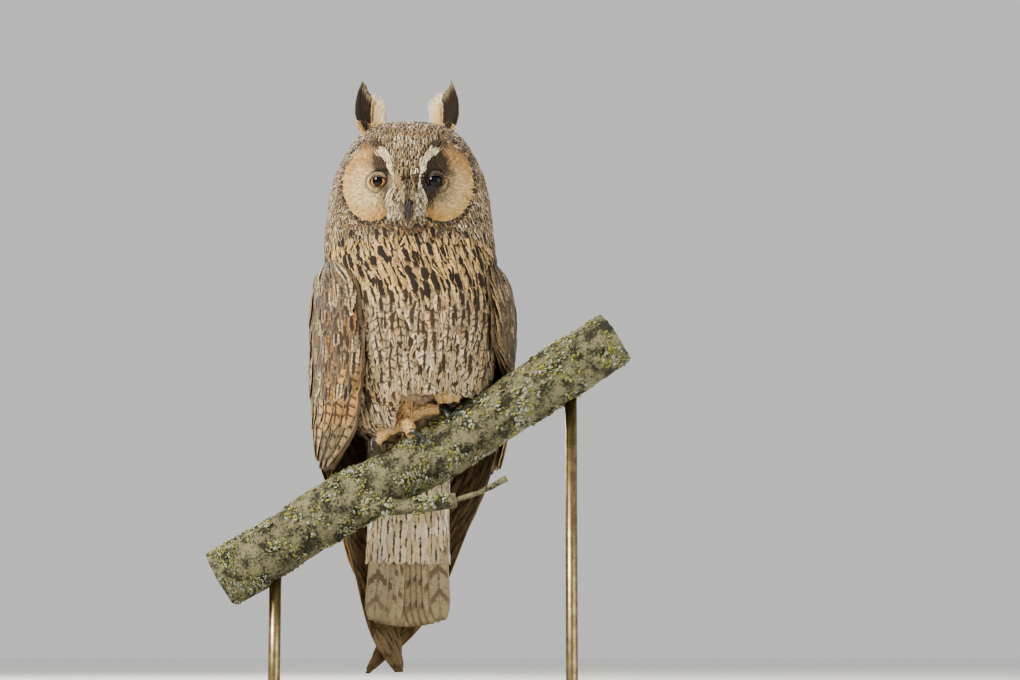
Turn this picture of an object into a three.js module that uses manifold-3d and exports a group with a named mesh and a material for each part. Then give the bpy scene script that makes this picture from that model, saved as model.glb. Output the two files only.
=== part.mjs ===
// A long-eared owl at life size, sitting upright and drowsy on a cut length of oak branch,
// with one foot drawn up into the belly feathers. A flat base and two rods hold the branch.
// Millimetres, +Z up. The owl looks along -Y. The origin is the centre of the base's underside.

import * as THREE from "three";
import { mergeVertices } from "three/addons/utils/BufferGeometryUtils.js";
import Module from "manifold-3d";

const wasm = await Module();
wasm.setup();

// Driving dimensions

const GAP = 0.35; // clear space between touching pieces
const UP = new THREE.Vector3(0, 0, 1);

const BODY = {
  yaw: THREE.MathUtils.degToRad(12), // the trunk turns a little to the owl's left, the head doesn't
  x: -2, // where the trunk's axis stands
  sides: 32,
  straightFrom: 262, // from here up to the neck's top the trunk comes round under the head
  neckTop: 322, // the head begins here
  neckBottom: 303, // the trunk begins here
  tailTop: 168, // the tail begins here
};

const HEAD = { x: -5.7, y: 0 };

const FACE = {
  z: 350, // height of the eyes' centre line
  y: -36.5, // how far forward the floor of each disc is
  discOffset: 22, // from the bill's line to the centre of each disc
  discWidth: 20, // half the size of each disc
  discHeight: 27.5,
  discRadii: [46, 14, 60], // of the ball that scoops each disc out
  discDepth: 1.5,
  discTurn: THREE.MathUtils.degToRad(32),
};

const EYE = {
  offset: 18,
  radius: 8,
  y: -33.5,
  lidThickness: 1.3,
  lidUp: 2.9, // the slit between the lids, above and below the eye's centre
  lidDown: 5,
};

const RUFF = {
  count: 10,
  from: 66, // degrees round the disc, from its outer side upwards
  to: -96,
  start: 0.8, // outside the disc's edge
  length: 9.5,
  halfWidth: 4.3,
  lift: 1.9,
};

const EAR = {
  x: -7.5, // the tufts stand on both sides of this line
  y: -5.5,
  aside: 23.5, // of the mounds that they grow from
  moundZ: 388,
  moundRadii: [7, 7.5, 10],
  rootZ: 386,
  roots: [24.5, 22],
  tips: [[30, 426.5], [29, 424], [26, 419], [22.5, 414], [18.5, 410], [16, 404]], // aside, height
  halfWidth: 3.9,
  layer: 1.3, // between neighbouring feathers, front to back
};

const WING = {
  top: 301,
  coreBottom: 158,
  tip: { right: 24, left: 23 },
  primaryTips: [10, 0, 2, 18, 42], // above the wing's tip, from the outermost feather inwards
  crossing: 8, // between the wings where their tips cross
  clear: 1.7, // from the trunk, so that the flat faces of neither touch
  columns: 8,
  rows: 9,
};

const TAIL = {
  x: 2, // the closed tail hangs a little to the owl's left
  tip: 54,
  coreBottom: 112,
  feathers: 12,
  spread: 4.2, // between neighbouring tips
  layer: 1.1, // between neighbouring feathers, front to back
};

// Tiers of the folded wing, from the lowest to the uppermost. Shares run from the leading edge, roots
// and tips are heights at the first and the last feather, and lift is from the wing's outer face.
const LAYER = 1.15; // from one feather to the next where they overlap
const SECONDARIES = {
  count: 6,
  shares: [0.44, 0.94],
  roots: [188, 192],
  tips: [94, 128],
  halfWidth: 8.5,
  lift: [-1.4, -1.2],
  thickness: 0.8,
  rows: 4,
};
const TERTIALS = {
  count: 2,
  shares: [0.78, 0.93],
  roots: [226, 230],
  tips: [150, 158],
  halfWidth: 10,
  lift: [-2, 2],
  rows: 4,
};
const GREATER_COVERTS = {
  count: 6,
  shares: [0.08, 0.66],
  roots: [206, 212],
  tips: [166, 172],
  halfWidth: 8.5,
  lift: [-2.2, 1.6],
  rows: 4,
};
const MEDIAN_COVERTS = {
  count: 5,
  shares: [0.08, 0.64],
  roots: [240, 244],
  tips: [198, 204],
  halfWidth: 9.5,
  lift: [-2.2, 2.2],
  rows: 4,
};
const SCAPULARS = {
  count: 5,
  shares: [0.42, 0.94],
  roots: [280, 280],
  tips: [226, 214],
  halfWidth: 12,
  lift: [-2.2, 4],
  rows: 4,
};

const BRANCH = { y: -18, radius: 18.7, sides: 14 };

const STAND = {
  baseLength: 250,
  baseDepth: 170,
  baseHeight: 12,
  baseCorner: 24,
  rodRadius: 4,
  rodLeftX: -92,
  rodRightX: 104,
};

// Outlines. Each row starts with the height it holds at, and the rest is interpolated smoothly.

// height, half width, depth in front, depth behind
const TRUNK_ROWS = [
  [175, 10, 8, 10],
  [177, 24, 20, 22],
  [182, 36, 31, 30],
  [190, 43, 38, 34],
  [202, 49, 44, 38],
  [218, 53, 48.5, 41],
  [238, 55.5, 51.5, 44],
  [260, 57, 52.5, 46],
  [285, 57.5, 50, 46],
  [303, 57.5, 45, 43.5],
  [322, 56, 42, 41.5],
  [332, 54, 40, 41],
];

// height, half width, depth in front, depth behind, of the skull and its coat
const HEAD_ROWS = [
  [312, 57, 41, 41],
  [322, 56.5, 42, 41.5],
  [334, 55, 43, 43],
  [346, 53.4, 43.5, 43.5],
  [361, 49.5, 42.5, 41],
  [372, 44.5, 40, 36.5],
  [380, 40, 36.5, 32],
  [387, 34.5, 31, 26.5],
  [391.5, 27.5, 24, 20],
  [393.7, 18, 16, 13],
  [394.3, 7, 6, 5],
];

// height, half width, half depth, how far behind the trunk's axis, greatest thickness
const WING_ROWS = [
  [20, 36, 6, 44, 1.5],
  [50, 36, 9, 42, 2.5],
  [80, 38, 13, 37, 3],
  [113, 46.5, 20, 31, 4],
  [150, 59, 33, 19, 6],
  [178, 65.5, 45, 6, 8],
  [205, 67.5, 52, 0, 9],
  [234, 68, 55, 0, 10],
  [260, 68, 56, 0, 10],
  [276, 67, 55.5, 0, 9],
  [290, 64, 53, 0, 5],
  [301, 60, 48, 0, 1.5],
];

// Along each wing: height, angle of the leading edge and of the trailing edge, from straight ahead
const WING_EDGES_RIGHT = [
  [20, 172, 191],
  [50, 131, 192],
  [80, 104, 178],
  [113, 88, 172],
  [150, 84, 168],
  [160, 68, 167],
  [178, 48, 165],
  [205, 42, 162],
  [260, 43, 160],
  [290, 50, 150],
  [301, 66, 130],
];
const WING_EDGES_LEFT = [
  [20, 218, 241],
  [50, 156, 213],
  [80, 112, 180],
  [113, 88, 174],
  [150, 74, 168],
  [178, 76, 165],
  [216, 79, 162],
  [228, 62, 161],
  [242, 50, 160],
  [260, 48, 160],
  [290, 54, 150],
  [301, 68, 130],
];

// height, half width, half depth, how far behind the trunk's axis
const RUMP_ROWS = [
  [54, 29, 1.6, 35],
  [80, 29, 2.2, 33],
  [110, 27.5, 4, 30],
  [140, 27, 8, 29.5],
  [168, 28, 11, 29],
  [195, 32, 16, 22],
  [215, 36, 20, 16],
];

// The branch's centre line, from its lower cut end to its upper one
const BRANCH_LINE = [
  [-128, 84],
  [-96, 103],
  [-49, 133.5],
  [-8, 155.5],
  [25, 175],
  [83, 212.5],
  [134, 246],
];

// Geometry helpers

// A seeded random draw, evenly between minus and plus the given amount
let seed = 20;
function vary(amount) {
  seed = (seed * 16807) % 2147483647;
  return ((seed / 2147483647) * 2 - 1) * amount;
}

// A smooth function through rows of [position, value, value, ...]
function profile(rows) {
  const positions = rows.map((row) => row[0]);
  const values = rows.flatMap((row) => row.slice(1));
  const curve = new THREE.CubicInterpolant(positions, values, rows[0].length - 1);
  const first = positions[0];
  const last = positions[positions.length - 1];
  return (at) => Array.from(curve.evaluate(THREE.MathUtils.clamp(at, first, last)));
}

const trunkAt = profile(TRUNK_ROWS);
const headAt = profile(HEAD_ROWS);
const wingAt = profile(WING_ROWS);
const rumpAt = profile(RUMP_ROWS);
const edgesAt = { right: profile(WING_EDGES_RIGHT), left: profile(WING_EDGES_LEFT) };

// A closed geometry as a solid. Only positions are kept, and shared corners are merged.
function solid(geometry) {
  const bare = new THREE.BufferGeometry();
  bare.setAttribute("position", geometry.getAttribute("position"));
  bare.setIndex(geometry.getIndex());
  const merged = mergeVertices(bare, 1e-4);
  const kept = [];
  const corners = merged.index.array;
  for (let i = 0; i < corners.length; i += 3) {
    const [a, b, c] = [corners[i], corners[i + 1], corners[i + 2]];
    if (a !== b && b !== c && c !== a) {
      kept.push(a, b, c);
    }
  }
  return new wasm.Manifold(
    new wasm.Mesh({
      numProp: 3,
      vertProperties: merged.getAttribute("position").array,
      triVerts: new Uint32Array(kept),
    }),
  );
}

function fuse(solids) {
  return wasm.Manifold.union(solids);
}

// The largest closed surface of a solid, without scraps and sealed hollows
function largest(body) {
  const pieces = body.decompose();
  pieces.sort((a, b) => b.volume() - a.volume());
  return pieces[0];
}

// A solid's triangles as a geometry with flat faces
function geometryOf(body) {
  const mesh = body.getMesh();
  const geometry = new THREE.BufferGeometry();
  geometry.setAttribute("position", new THREE.BufferAttribute(mesh.vertProperties, mesh.numProp));
  geometry.setIndex(new THREE.BufferAttribute(mesh.triVerts, 1));
  const flat = geometry.toNonIndexed();
  flat.computeVertexNormals();
  return flat;
}

const asGiven = (x, y, z) => new THREE.Vector3(x, y, z);

// A cylinder whose rings are laid at given heights: row gives x, y, half width, front and back depth
function stack(heights, sides, row, place = asGiven) {
  const geometry = new THREE.CylinderGeometry(1, 1, 1, sides, heights.length - 1);
  const position = geometry.getAttribute("position");
  for (let i = 0; i < position.count; i += 1) {
    const ring = Math.round((0.5 - position.getY(i)) * (heights.length - 1));
    const height = heights[ring];
    const [x, y, halfWidth, front, back] = row(height);
    const ahead = position.getZ(i);
    const depth = ahead > 0 ? front : back;
    const point = place(x + position.getX(i) * halfWidth, y - ahead * depth, height);
    position.setXYZ(i, point.x, point.y, point.z);
  }
  return solid(geometry);
}

// A cylinder bent along a curve: size gives its half width and half height at each share of the length
function sweep(points, size, sides, steps, across = new THREE.Vector3(1, 0, 0)) {
  const curve = new THREE.CatmullRomCurve3(points.map((point) => new THREE.Vector3(...point)));
  const geometry = new THREE.CylinderGeometry(1, 1, 1, sides, steps);
  const position = geometry.getAttribute("position");
  for (let i = 0; i < position.count; i += 1) {
    const share = 0.5 - position.getY(i);
    const centre = curve.getPoint(share);
    const tangent = curve.getTangent(share);
    const side = across.clone().addScaledVector(tangent, -across.dot(tangent)).normalize();
    const up = new THREE.Vector3().crossVectors(tangent, side);
    const [halfWidth, halfHeight] = size(share);
    centre.addScaledVector(side, position.getX(i) * halfWidth);
    centre.addScaledVector(up, position.getZ(i) * halfHeight);
    position.setXYZ(i, centre.x, centre.y, centre.z);
  }
  return solid(geometry);
}

// A thin closed sheet. place(u, t, face) gives a point for u from -1 to 1 across, t from 0 to 1 along,
// and face 1 or -1. Both faces are split into triangles alike.
function sheet(columns, rows, place) {
  const plane = new THREE.PlaneGeometry(2, 1, columns, rows);
  const flat = plane.getAttribute("position");
  const corners = [];
  for (const face of [1, -1]) {
    for (let i = 0; i < flat.count; i += 1) {
      corners.push(...place(flat.getX(i), 0.5 - flat.getY(i), face));
    }
  }
  const triangles = [];
  const index = plane.getIndex().array;
  for (let i = 0; i < index.length; i += 3) {
    triangles.push(index[i], index[i + 1], index[i + 2]);
    triangles.push(index[i + 2] + flat.count, index[i + 1] + flat.count, index[i] + flat.count);
  }
  const rim = [];
  const wide = columns + 1;
  for (let column = 0; column < columns; column += 1) {
    rim.push([column + 1, column], [rows * wide + column, rows * wide + column + 1]);
  }
  for (let row = 0; row < rows; row += 1) {
    rim.push([row * wide, (row + 1) * wide], [(row + 1) * wide + columns, row * wide + columns]);
  }
  for (const [from, to] of rim) {
    triangles.push(to, from, from + flat.count);
    triangles.push(to, from + flat.count, to + flat.count);
  }
  const geometry = new THREE.BufferGeometry();
  geometry.setAttribute("position", new THREE.Float32BufferAttribute(corners, 3));
  geometry.setIndex(triangles);
  const body = solid(geometry);
  if (body.volume() > 0) {
    return body;
  }
  geometry.setIndex(triangles.reverse());
  return solid(geometry);
}

// Outlines of vanes: the share of the greatest half width at each share of the length
const roundLeaf = (t) => {
  const base = 0.55 + 0.45 * THREE.MathUtils.smoothstep(t, 0, 0.4);
  return base * Math.sqrt(1 - THREE.MathUtils.clamp((t - 0.6) / 0.42, 0, 1) ** 2);
};
const scaleLeaf = (t) => 0.98 * Math.sqrt(1 - THREE.MathUtils.clamp((t - 0.35) / 0.67, 0, 1) ** 2);
const longLeaf = (t) => {
  const base = 0.5 + 0.5 * THREE.MathUtils.smoothstep(t, 0, 0.3);
  return base * Math.sqrt(1 - THREE.MathUtils.clamp((t - 0.88) / 0.135, 0, 1) ** 2);
};

// A feather or lock lying on a surface. surface.point(a, b, lift) is a place on it, and surface.scale(b)
// the millimetres for each unit of a. The vane runs from root to tip, given as [a, b], and rises from
// the first lift, below the surface, to the second. tilt lifts its first edge over its neighbour.
function vane(surface, options) {
  const { root, tip, halfWidth, lift, tilt = 0, bow = 0, thickness = 0.7 } = options;
  const { rows = 4, columns = 1, leaf = roundLeaf } = options;
  return sheet(columns, rows, (u, share, face) => {
    const t = 1 - (1 - share) ** 1.4; // closer rows to the tip
    const a = THREE.MathUtils.lerp(root[0], tip[0], t) + bow * Math.sin(Math.PI * t);
    const b = THREE.MathUtils.lerp(root[1], tip[1], t);
    const scale = surface.scale(b);
    const heading = new THREE.Vector2((tip[0] - root[0]) * scale, tip[1] - root[1]).normalize();
    const out = u * halfWidth * leaf(t);
    const rise = THREE.MathUtils.lerp(lift[0], lift[1], THREE.MathUtils.smoothstep(t, 0, 0.45));
    const half = (thickness / 2) * (1 - 0.35 * t) * face;
    return surface.point(a - (heading.y * out) / scale, b + heading.x * out, rise - tilt * u + half);
  });
}

// A free vane between two points, bowed sideways, its faces square to a given direction
function blade({ root, tip, bow, facing, halfWidth, thickness, rows = 4, leaf = longLeaf }) {
  const from = new THREE.Vector3(...root);
  const along = new THREE.Vector3(...tip).sub(from);
  const normal = new THREE.Vector3(...facing).normalize();
  const across = new THREE.Vector3().crossVectors(normal, along).normalize();
  return sheet(1, rows, (u, t, face) => {
    const aside = u * halfWidth * leaf(t) + bow * Math.sin(Math.PI * t);
    const half = (thickness / 2) * (1 - 0.4 * t) * face;
    return from.clone().addScaledVector(along, t).addScaledVector(across, aside).addScaledVector(normal, half);
  });
}

function box(size, centre) {
  const geometry = new THREE.BoxGeometry(...size);
  geometry.translate(...centre);
  return solid(geometry);
}

function ball(radii, centre, segments = [24, 16], turn = 0) {
  const geometry = new THREE.SphereGeometry(1, ...segments);
  geometry.scale(...radii);
  geometry.rotateZ(turn);
  geometry.translate(...centre);
  return solid(geometry);
}

// What lies between two heights
function slice(body, low, high) {
  const slab = box([1000, 1000, high - low], [0, 0, (low + high) / 2]);
  return body.intersect(slab);
}

// Even steps from one height to another, the ends included
function heightsBetween(from, to, count) {
  return Array.from({ length: count + 1 }, (_, i) => THREE.MathUtils.lerp(from, to, i / count));
}

// A point of the trunk's own frame, which is turned about the vertical but straight under the head
function bodyPoint(x, y, z) {
  const straight = THREE.MathUtils.smoothstep(z, BODY.straightFrom, BODY.neckTop);
  const point = new THREE.Vector3(x, y, z);
  point.applyAxisAngle(UP, BODY.yaw * (1 - straight));
  point.x += THREE.MathUtils.lerp(BODY.x, HEAD.x, straight);
  return point;
}

// Trunk, neck and rump

function trunkSolid() {
  const heights = [...heightsBetween(332, 192, 8), 183, 177, 175];
  return stack(heights, BODY.sides, (z) => [0, 0, ...trunkAt(z)], bodyPoint);
}

function rumpSolid(from, to, count) {
  const row = (z) => {
    const [halfWidth, halfDepth, y] = rumpAt(z);
    return [TAIL.x, y, halfWidth, halfDepth, halfDepth];
  };
  return stack(heightsBetween(from, to, count), 16, row, bodyPoint);
}

// Wings

// A point of a wing: share of the way from its leading edge to its trailing edge, height, and lift
// above the wing's outer face, or above its inner face when inner is true
function wingPoint(side, share, z, lift, inner = false) {
  const [halfWidth, halfDepth, y, thickness] = wingAt(z);
  const [trunkWidth, trunkFront, trunkBack] = z > 175 ? trunkAt(z) : [0, 0, 0];
  const [front, back] = edgesAt[side](z);
  const angle = THREE.MathUtils.degToRad(THREE.MathUtils.lerp(front, back, share));
  const ahead = Math.cos(angle);
  const aside = Math.sin(angle) * (side === "left" ? 1 : -1);
  const trunkDepth = ahead > 0 ? trunkFront : trunkBack;
  const innerWidth = Math.max(trunkWidth + WING.clear, halfWidth - thickness);
  const innerDepth = Math.max(trunkDepth + WING.clear, halfDepth - thickness);
  const room = Math.max(1.2, Math.min(halfWidth - innerWidth, thickness));
  const inward = THREE.MathUtils.lerp(0.06, 0.94, THREE.MathUtils.clamp(share, 0, 1));
  const swell = Math.sin(Math.PI * inward) ** 0.35;
  const out = (inner ? 0 : Math.max(1.2, room * swell)) + lift;
  const apart = side === "left" && z < 110 ? ((110 - z) / 86) * WING.crossing : 0;
  return bodyPoint(aside * (innerWidth + out), y + apart - ahead * (innerDepth + out), z);
}

function wingSurface(side) {
  return {
    point: (share, z, lift) => wingPoint(side, share, z, lift),
    scale: (z) => {
      const [front, back] = edgesAt[side](z);
      return THREE.MathUtils.degToRad(back - front) * wingAt(z)[0];
    },
  };
}

function wingCore(side) {
  return sheet(WING.columns, WING.rows, (u, t, face) => {
    const z = THREE.MathUtils.lerp(WING.top, WING.coreBottom, t);
    return wingPoint(side, (u + 1) / 2, z, 0, face < 0);
  });
}

// One tier of feathers, set out evenly from one share of the wing's breadth to another.
// roots and tips give the heights at the first and last feather.
function tier(side, { count, shares, roots, tips, ...rest }) {
  const surface = wingSurface(side);
  const spacing = ((shares[1] - shares[0]) / (count - 1)) * surface.scale(Math.max(...tips));
  const tilt = (LAYER * rest.halfWidth) / spacing;
  return Array.from({ length: count }, (_, i) => {
    const k = i / (count - 1);
    const share = THREE.MathUtils.lerp(shares[0], shares[1], k);
    const root = THREE.MathUtils.lerp(roots[0], roots[1], k) + vary(1.5);
    const tip = THREE.MathUtils.lerp(tips[0], tips[1], k) + vary(2.5);
    return vane(surface, { root: [share, root], tip: [share, tip], tilt, ...rest });
  });
}

// The primaries: each tip stands higher than the one before it, and all lean to the leading edge
function primaries(side) {
  return WING.primaryTips.map((drop, i) => {
    const k = i / (WING.primaryTips.length - 1);
    const tip = WING.tip[side] + drop;
    return vane(wingSurface(side), {
      root: [THREE.MathUtils.lerp(0.1, 0.6, k), 184],
      tip: [THREE.MathUtils.lerp(0.25, 0.8, k), tip],
      bow: -0.03,
      halfWidth: 7.4,
      lift: [-4.8 + 0.6 * i, -4.8 + 0.6 * i],
      tilt: 0.8,
      thickness: 0.8,
      rows: 7,
      leaf: longLeaf,
    });
  });
}

function wing(side) {
  return fuse([
    wingCore(side),
    ...primaries(side),
    ...tier(side, SECONDARIES),
    ...tier(side, TERTIALS),
    ...tier(side, GREATER_COVERTS),
    ...tier(side, MEDIAN_COVERTS),
    ...tier(side, SCAPULARS),
  ]);
}

// Tail

// The tail's surface: a is the distance from its middle line, b the height
const tailSurface = {
  point: (x, z, lift) => bodyPoint(TAIL.x + x, rumpAt(z)[2] + lift, z),
  scale: () => 1,
};

function rectrices() {
  return Array.from({ length: TAIL.feathers }, (_, i) => {
    const place = i - (TAIL.feathers - 1) / 2;
    const layer = TAIL.layer * (3 - Math.abs(place)) - (place > 0 ? TAIL.layer / 2 : 0);
    return vane(tailSurface, {
      root: [place * 2.6, 176],
      tip: [place * TAIL.spread, TAIL.tip + 0.14 * place ** 2],
      halfWidth: 7.6,
      lift: [layer, layer],
      thickness: 0.7,
      rows: 4,
      leaf: longLeaf,
    });
  });
}

function tailCoverts(count, lift, tips) {
  return Array.from({ length: count }, (_, i) => {
    const place = i - (count - 1) / 2;
    return vane(tailSurface, {
      root: [place * 7, 160],
      tip: [place * 8, tips + 2.2 * Math.abs(place)],
      halfWidth: 6.5,
      lift,
      tilt: place > 0 ? 0.6 : -0.6,
      rows: 4,
    });
  });
}

function tail() {
  const pieces = [rumpSolid(172, TAIL.coreBottom, 5), ...rectrices()];
  pieces.push(...tailCoverts(5, [-6, -6.5], 104), ...tailCoverts(4, [6, 6.5], 116));
  return slice(fuse(pieces), TAIL.tip - 5, BODY.tailTop - GAP / 2);
}

// Head

// The skull's front and sides: a is the angle in degrees from straight ahead, b the height
const skullSurface = {
  point: (angle, z, lift) => {
    const [halfWidth, front, back] = headAt(z);
    const turn = THREE.MathUtils.degToRad(angle);
    const depth = Math.abs(angle) < 90 ? front : back;
    const x = HEAD.x + Math.sin(turn) * (halfWidth + lift);
    return new THREE.Vector3(x, HEAD.y - Math.cos(turn) * (depth + lift), z);
  },
  scale: (z) => THREE.MathUtils.degToRad(headAt(z)[0]),
};

// The angle at which the skull's surface is a given way to the side
function skullAngle(aside, z) {
  return THREE.MathUtils.radToDeg(Math.asin(Math.min(0.99, aside / headAt(z)[0])));
}

function skullSolid(grow = 0) {
  const heights = [394.3, 393.4, 390.5, 385, 377, 367, 354, 340, 326, 312];
  const row = (z) => [HEAD.x, HEAD.y, ...headAt(z).map((size) => size + grow)];
  return stack(heights, BODY.sides, row, (x, y, z) => new THREE.Vector3(x, y, z + grow));
}

// What is scooped out of the head to make each shallow, outward-facing disc
function disc(side) {
  const { y, discOffset, discRadii, discTurn, z } = FACE;
  const out = discRadii[1] - FACE.discDepth;
  const centre = [
    HEAD.x + side * (discOffset + out * Math.sin(discTurn)),
    y - out * Math.cos(discTurn),
    z + 1,
  ];
  return ball(discRadii, centre, [20, 18], side * discTurn);
}

function eyeSolid(side, grow = 0) {
  const radius = EYE.radius + grow;
  return ball([radius, radius, radius], [HEAD.x + side * EYE.offset, EYE.y, FACE.z - 1], [14, 9]);
}

function billUpper(grow = 0) {
  const line = [
    [-5.2, -33, 344],
    [-5, -42, 343.5],
    [-4.6, -49, 337.5],
    [-4.2, -52.5, 327],
    [-3.9, -50.5, 316.5],
  ];
  const size = (t) => {
    const taper = 1 - 0.96 * t ** 2.2;
    return [4.6 * taper + grow, 5 * taper + grow];
  };
  return sweep(line, size, 10, 7);
}

function nostrils() {
  return fuse([-1, 1].map((side) => ball([1, 1.4, 0.9], [-5 + side * 3.6, -44.6, 342.6], [7, 5])));
}

function billLower(grow = 0) {
  const line = [
    [-5, -32, 329.5],
    [-4.8, -39, 329.5],
    [-4.5, -44.5, 326],
    [-4.3, -47.5, 321.5],
  ];
  const size = (t) => {
    const taper = 1 - 0.85 * t ** 2;
    return [3.6 * taper + grow, 2.6 * taper + grow];
  };
  return sweep(line, size, 8, 4);
}

// The mound of short feathers that an ear tuft grows from, sunk in the head
function earMound(side, grow = 0) {
  const radii = EAR.moundRadii.map((radius) => radius + grow);
  return ball(radii, [EAR.x + side * EAR.aside, EAR.y, EAR.moundZ], [12, 8]);
}

// The tuft's feathers stand in a fan, the dark outer ones in front and longest
function earTuft(side) {
  const pieces = EAR.tips.map(([aside, z], i) => {
    const k = i / (EAR.tips.length - 1);
    const y = -7.5 + EAR.layer * (i - 1);
    return blade({
      root: [EAR.x + side * THREE.MathUtils.lerp(EAR.roots[0], EAR.roots[1], k), y, EAR.rootZ],
      tip: [EAR.x + side * aside, y + 0.8, z],
      bow: side * THREE.MathUtils.lerp(4.6, -1.4, k),
      facing: [0, 1, 0],
      halfWidth: EAR.halfWidth,
      thickness: 0.9,
    });
  });
  return fuse([earMound(side), fuse(pieces).subtract(skullSolid(GAP))]);
}

// The rim of short, dark, stiff feathers round the outer side of each disc
function ruff(side) {
  return Array.from({ length: RUFF.count }, (_, i) => {
    const angle = THREE.MathUtils.degToRad(THREE.MathUtils.mapLinear(i, 0, RUFF.count - 1, RUFF.from, RUFF.to));
    const [cos, sin] = [Math.cos(angle), Math.sin(angle)];
    const length = RUFF.length + vary(0.8);
    const across = FACE.discOffset + (FACE.discWidth + RUFF.start) * cos;
    const z = FACE.z + 1 + (FACE.discHeight + RUFF.start) * sin;
    const turn = skullAngle(across, z);
    const root = [side * turn, z];
    const tip = [side * (turn + (length * cos) / skullSurface.scale(z)), z + length * sin * 0.8];
    return vane(skullSurface, {
      root,
      tip,
      halfWidth: RUFF.halfWidth,
      lift: [-1.6, RUFF.lift],
      tilt: side * 0.6,
      thickness: 0.8,
      rows: 3,
      leaf: scaleLeaf,
    });
  });
}

// Lids: the upper one lowered a little over the eye, the lower one just under it
function lids(side) {
  const centre = [HEAD.x + side * EYE.offset, EYE.y, FACE.z - 1];
  const inner = EYE.radius + 2 * GAP;
  const outer = inner + EYE.lidThickness;
  const shell = ball([outer, outer, outer], centre, [11, 7]).subtract(
    ball([inner, inner, inner], centre, [11, 7]),
  );
  const [x, y, z] = centre;
  const slit = box([40, 40, EYE.lidUp + EYE.lidDown], [x, y - 20 - 2, z + (EYE.lidUp - EYE.lidDown) / 2]);
  return shell.subtract(slit);
}

// The head without its eyes, bill and ear tufts
function head() {
  const dished = skullSolid().subtract(fuse([disc(-1), disc(1)]));
  const sockets = fuse([eyeSolid(-1, GAP), eyeSolid(1, GAP)]);
  const roots = fuse([billUpper(GAP), billLower(GAP), earMound(-1, GAP), earMound(1, GAP)]);
  const whole = fuse([dished.subtract(sockets), ...ruff(-1), ...ruff(1), lids(-1), lids(1)]);
  return slice(whole.subtract(roots), BODY.neckTop + GAP / 2, 420);
}

// Legs

const FOOT_ACROSS = new THREE.Vector3(0.5, 0.3, 0.8);

const FOOT_RIGHT = {
  detail: [8, 5], // sides and steps of each toe
  leg: [
    [-6, -19, 216],
    [-7, -23, 200],
    [-7.5, -24.5, 190],
    [-7, -23.5, 184.5],
  ],
  legSize: [8, 6],
  toes: [
    [[-7, -24, 187], [-14, -26, 185], [-20, -27, 181], [-24.5, -27.5, 176]],
    [[-7, -24, 187], [-6, -30, 188], [-4, -36, 185], [-2, -39.5, 180]],
    [[-7, -23, 188], [-1, -24, 193], [7, -25, 196.5], [15, -26, 197]],
    [[-7, -21, 187], [-7.5, -11, 183], [-8, -2, 176], [-8, 3, 168]],
  ],
  claws: [
    [[-23.2, -27.4, 177.6], [-27.5, -29.5, 175.5], [-27.5, -32, 169.5], [-22.5, -31.5, 165]],
    [[-2.8, -38.4, 181.6], [1, -42.5, 179.5], [6.5, -42, 175.5], [10.5, -38, 171]],
    [[13.6, -25.8, 197], [19.5, -29, 196], [22, -32.5, 191], [20.5, -32.5, 185.5]],
    [[-8, 2.2, 169.6], [-8, 5.4, 164], [-8.5, 5.4, 158], [-9, 3, 153.5]],
  ],
};

const FOOT_LEFT = {
  detail: [6, 3],
  leg: [
    [20, -11.5, 231],
    [21, -15.5, 221],
    [22, -19.5, 214],
    [22.5, -22.5, 210],
  ],
  legSize: [7, 5.5],
  toes: [
    [[22, -21.5, 212], [17.5, -27.5, 211], [17, -30.5, 206], [18, -29.5, 202.5]],
    [[22.5, -22.5, 212], [22, -30.5, 211], [22, -33.5, 206], [22.3, -32, 202.5]],
    [[23, -21.5, 212], [27, -27.5, 211.5], [27.5, -30.5, 207], [26.7, -29.5, 203.5]],
    [[22.5, -20.5, 211], [24, -14.5, 208.5], [24.5, -16, 204], [24, -19.5, 202.5]],
  ],
  claws: [
    [[18, -29.5, 203], [19.2, -27, 200.5], [21, -24.5, 201], [22, -22.5, 203]],
    [[22.3, -32, 203], [23.3, -29.5, 200], [24.5, -26.5, 200.5], [24.8, -24.5, 202.8]],
    [[26.7, -29.5, 204], [28, -27, 201.8], [29, -24.5, 202.6], [29, -22.8, 204.6]],
    [[24, -19, 202.7], [22.2, -21, 200.6], [20.2, -21.7, 202], [19.3, -21.5, 204]],
  ],
};

const toeSize = (t) => {
  const joint = 0.45 * Math.cos(t * Math.PI * 5);
  const size = THREE.MathUtils.lerp(4.6, 3.9, t) + joint;
  return [size, size * 0.92];
};

const clawSize = (grow) => (t) => {
  const size = THREE.MathUtils.lerp(2.5, 0.2, t ** 1.4);
  return [size * 0.85 + grow, size + grow];
};

function shankSolid(foot, grow = 0) {
  const [width, end] = foot.legSize;
  const [[x, y, z], ...rest] = foot.leg;
  const size = (t) => Array(2).fill(THREE.MathUtils.lerp(width, end, t) + grow);
  return sweep([[x, y, z + grow], ...rest], size, 10, 4);
}

function toeSolid(foot, line, grow = 0) {
  const size = (t) => toeSize(t).map((half) => half + grow);
  return sweep(line, size, ...foot.detail, FOOT_ACROSS);
}

function footSolid(foot) {
  return fuse([shankSolid(foot), ...foot.toes.map((toe) => toeSolid(foot, toe))]);
}

function clawSolids(foot, grow = 0) {
  return foot.claws.map((line) => sweep(line, clawSize(grow), 6, foot.detail[1], FOOT_ACROSS));
}

// Perch and stand

function branchSolid(grow = 0) {
  const line = BRANCH_LINE.map(([x, z]) => [x, BRANCH.y, z]);
  const size = (t) => {
    const radius = BRANCH.radius * (1.02 - 0.03 * t) + 0.5 * Math.sin(t * 23) + grow;
    return [radius, radius];
  };
  return sweep(line, size, BRANCH.sides, 12, new THREE.Vector3(0, 1, 0));
}

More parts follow.
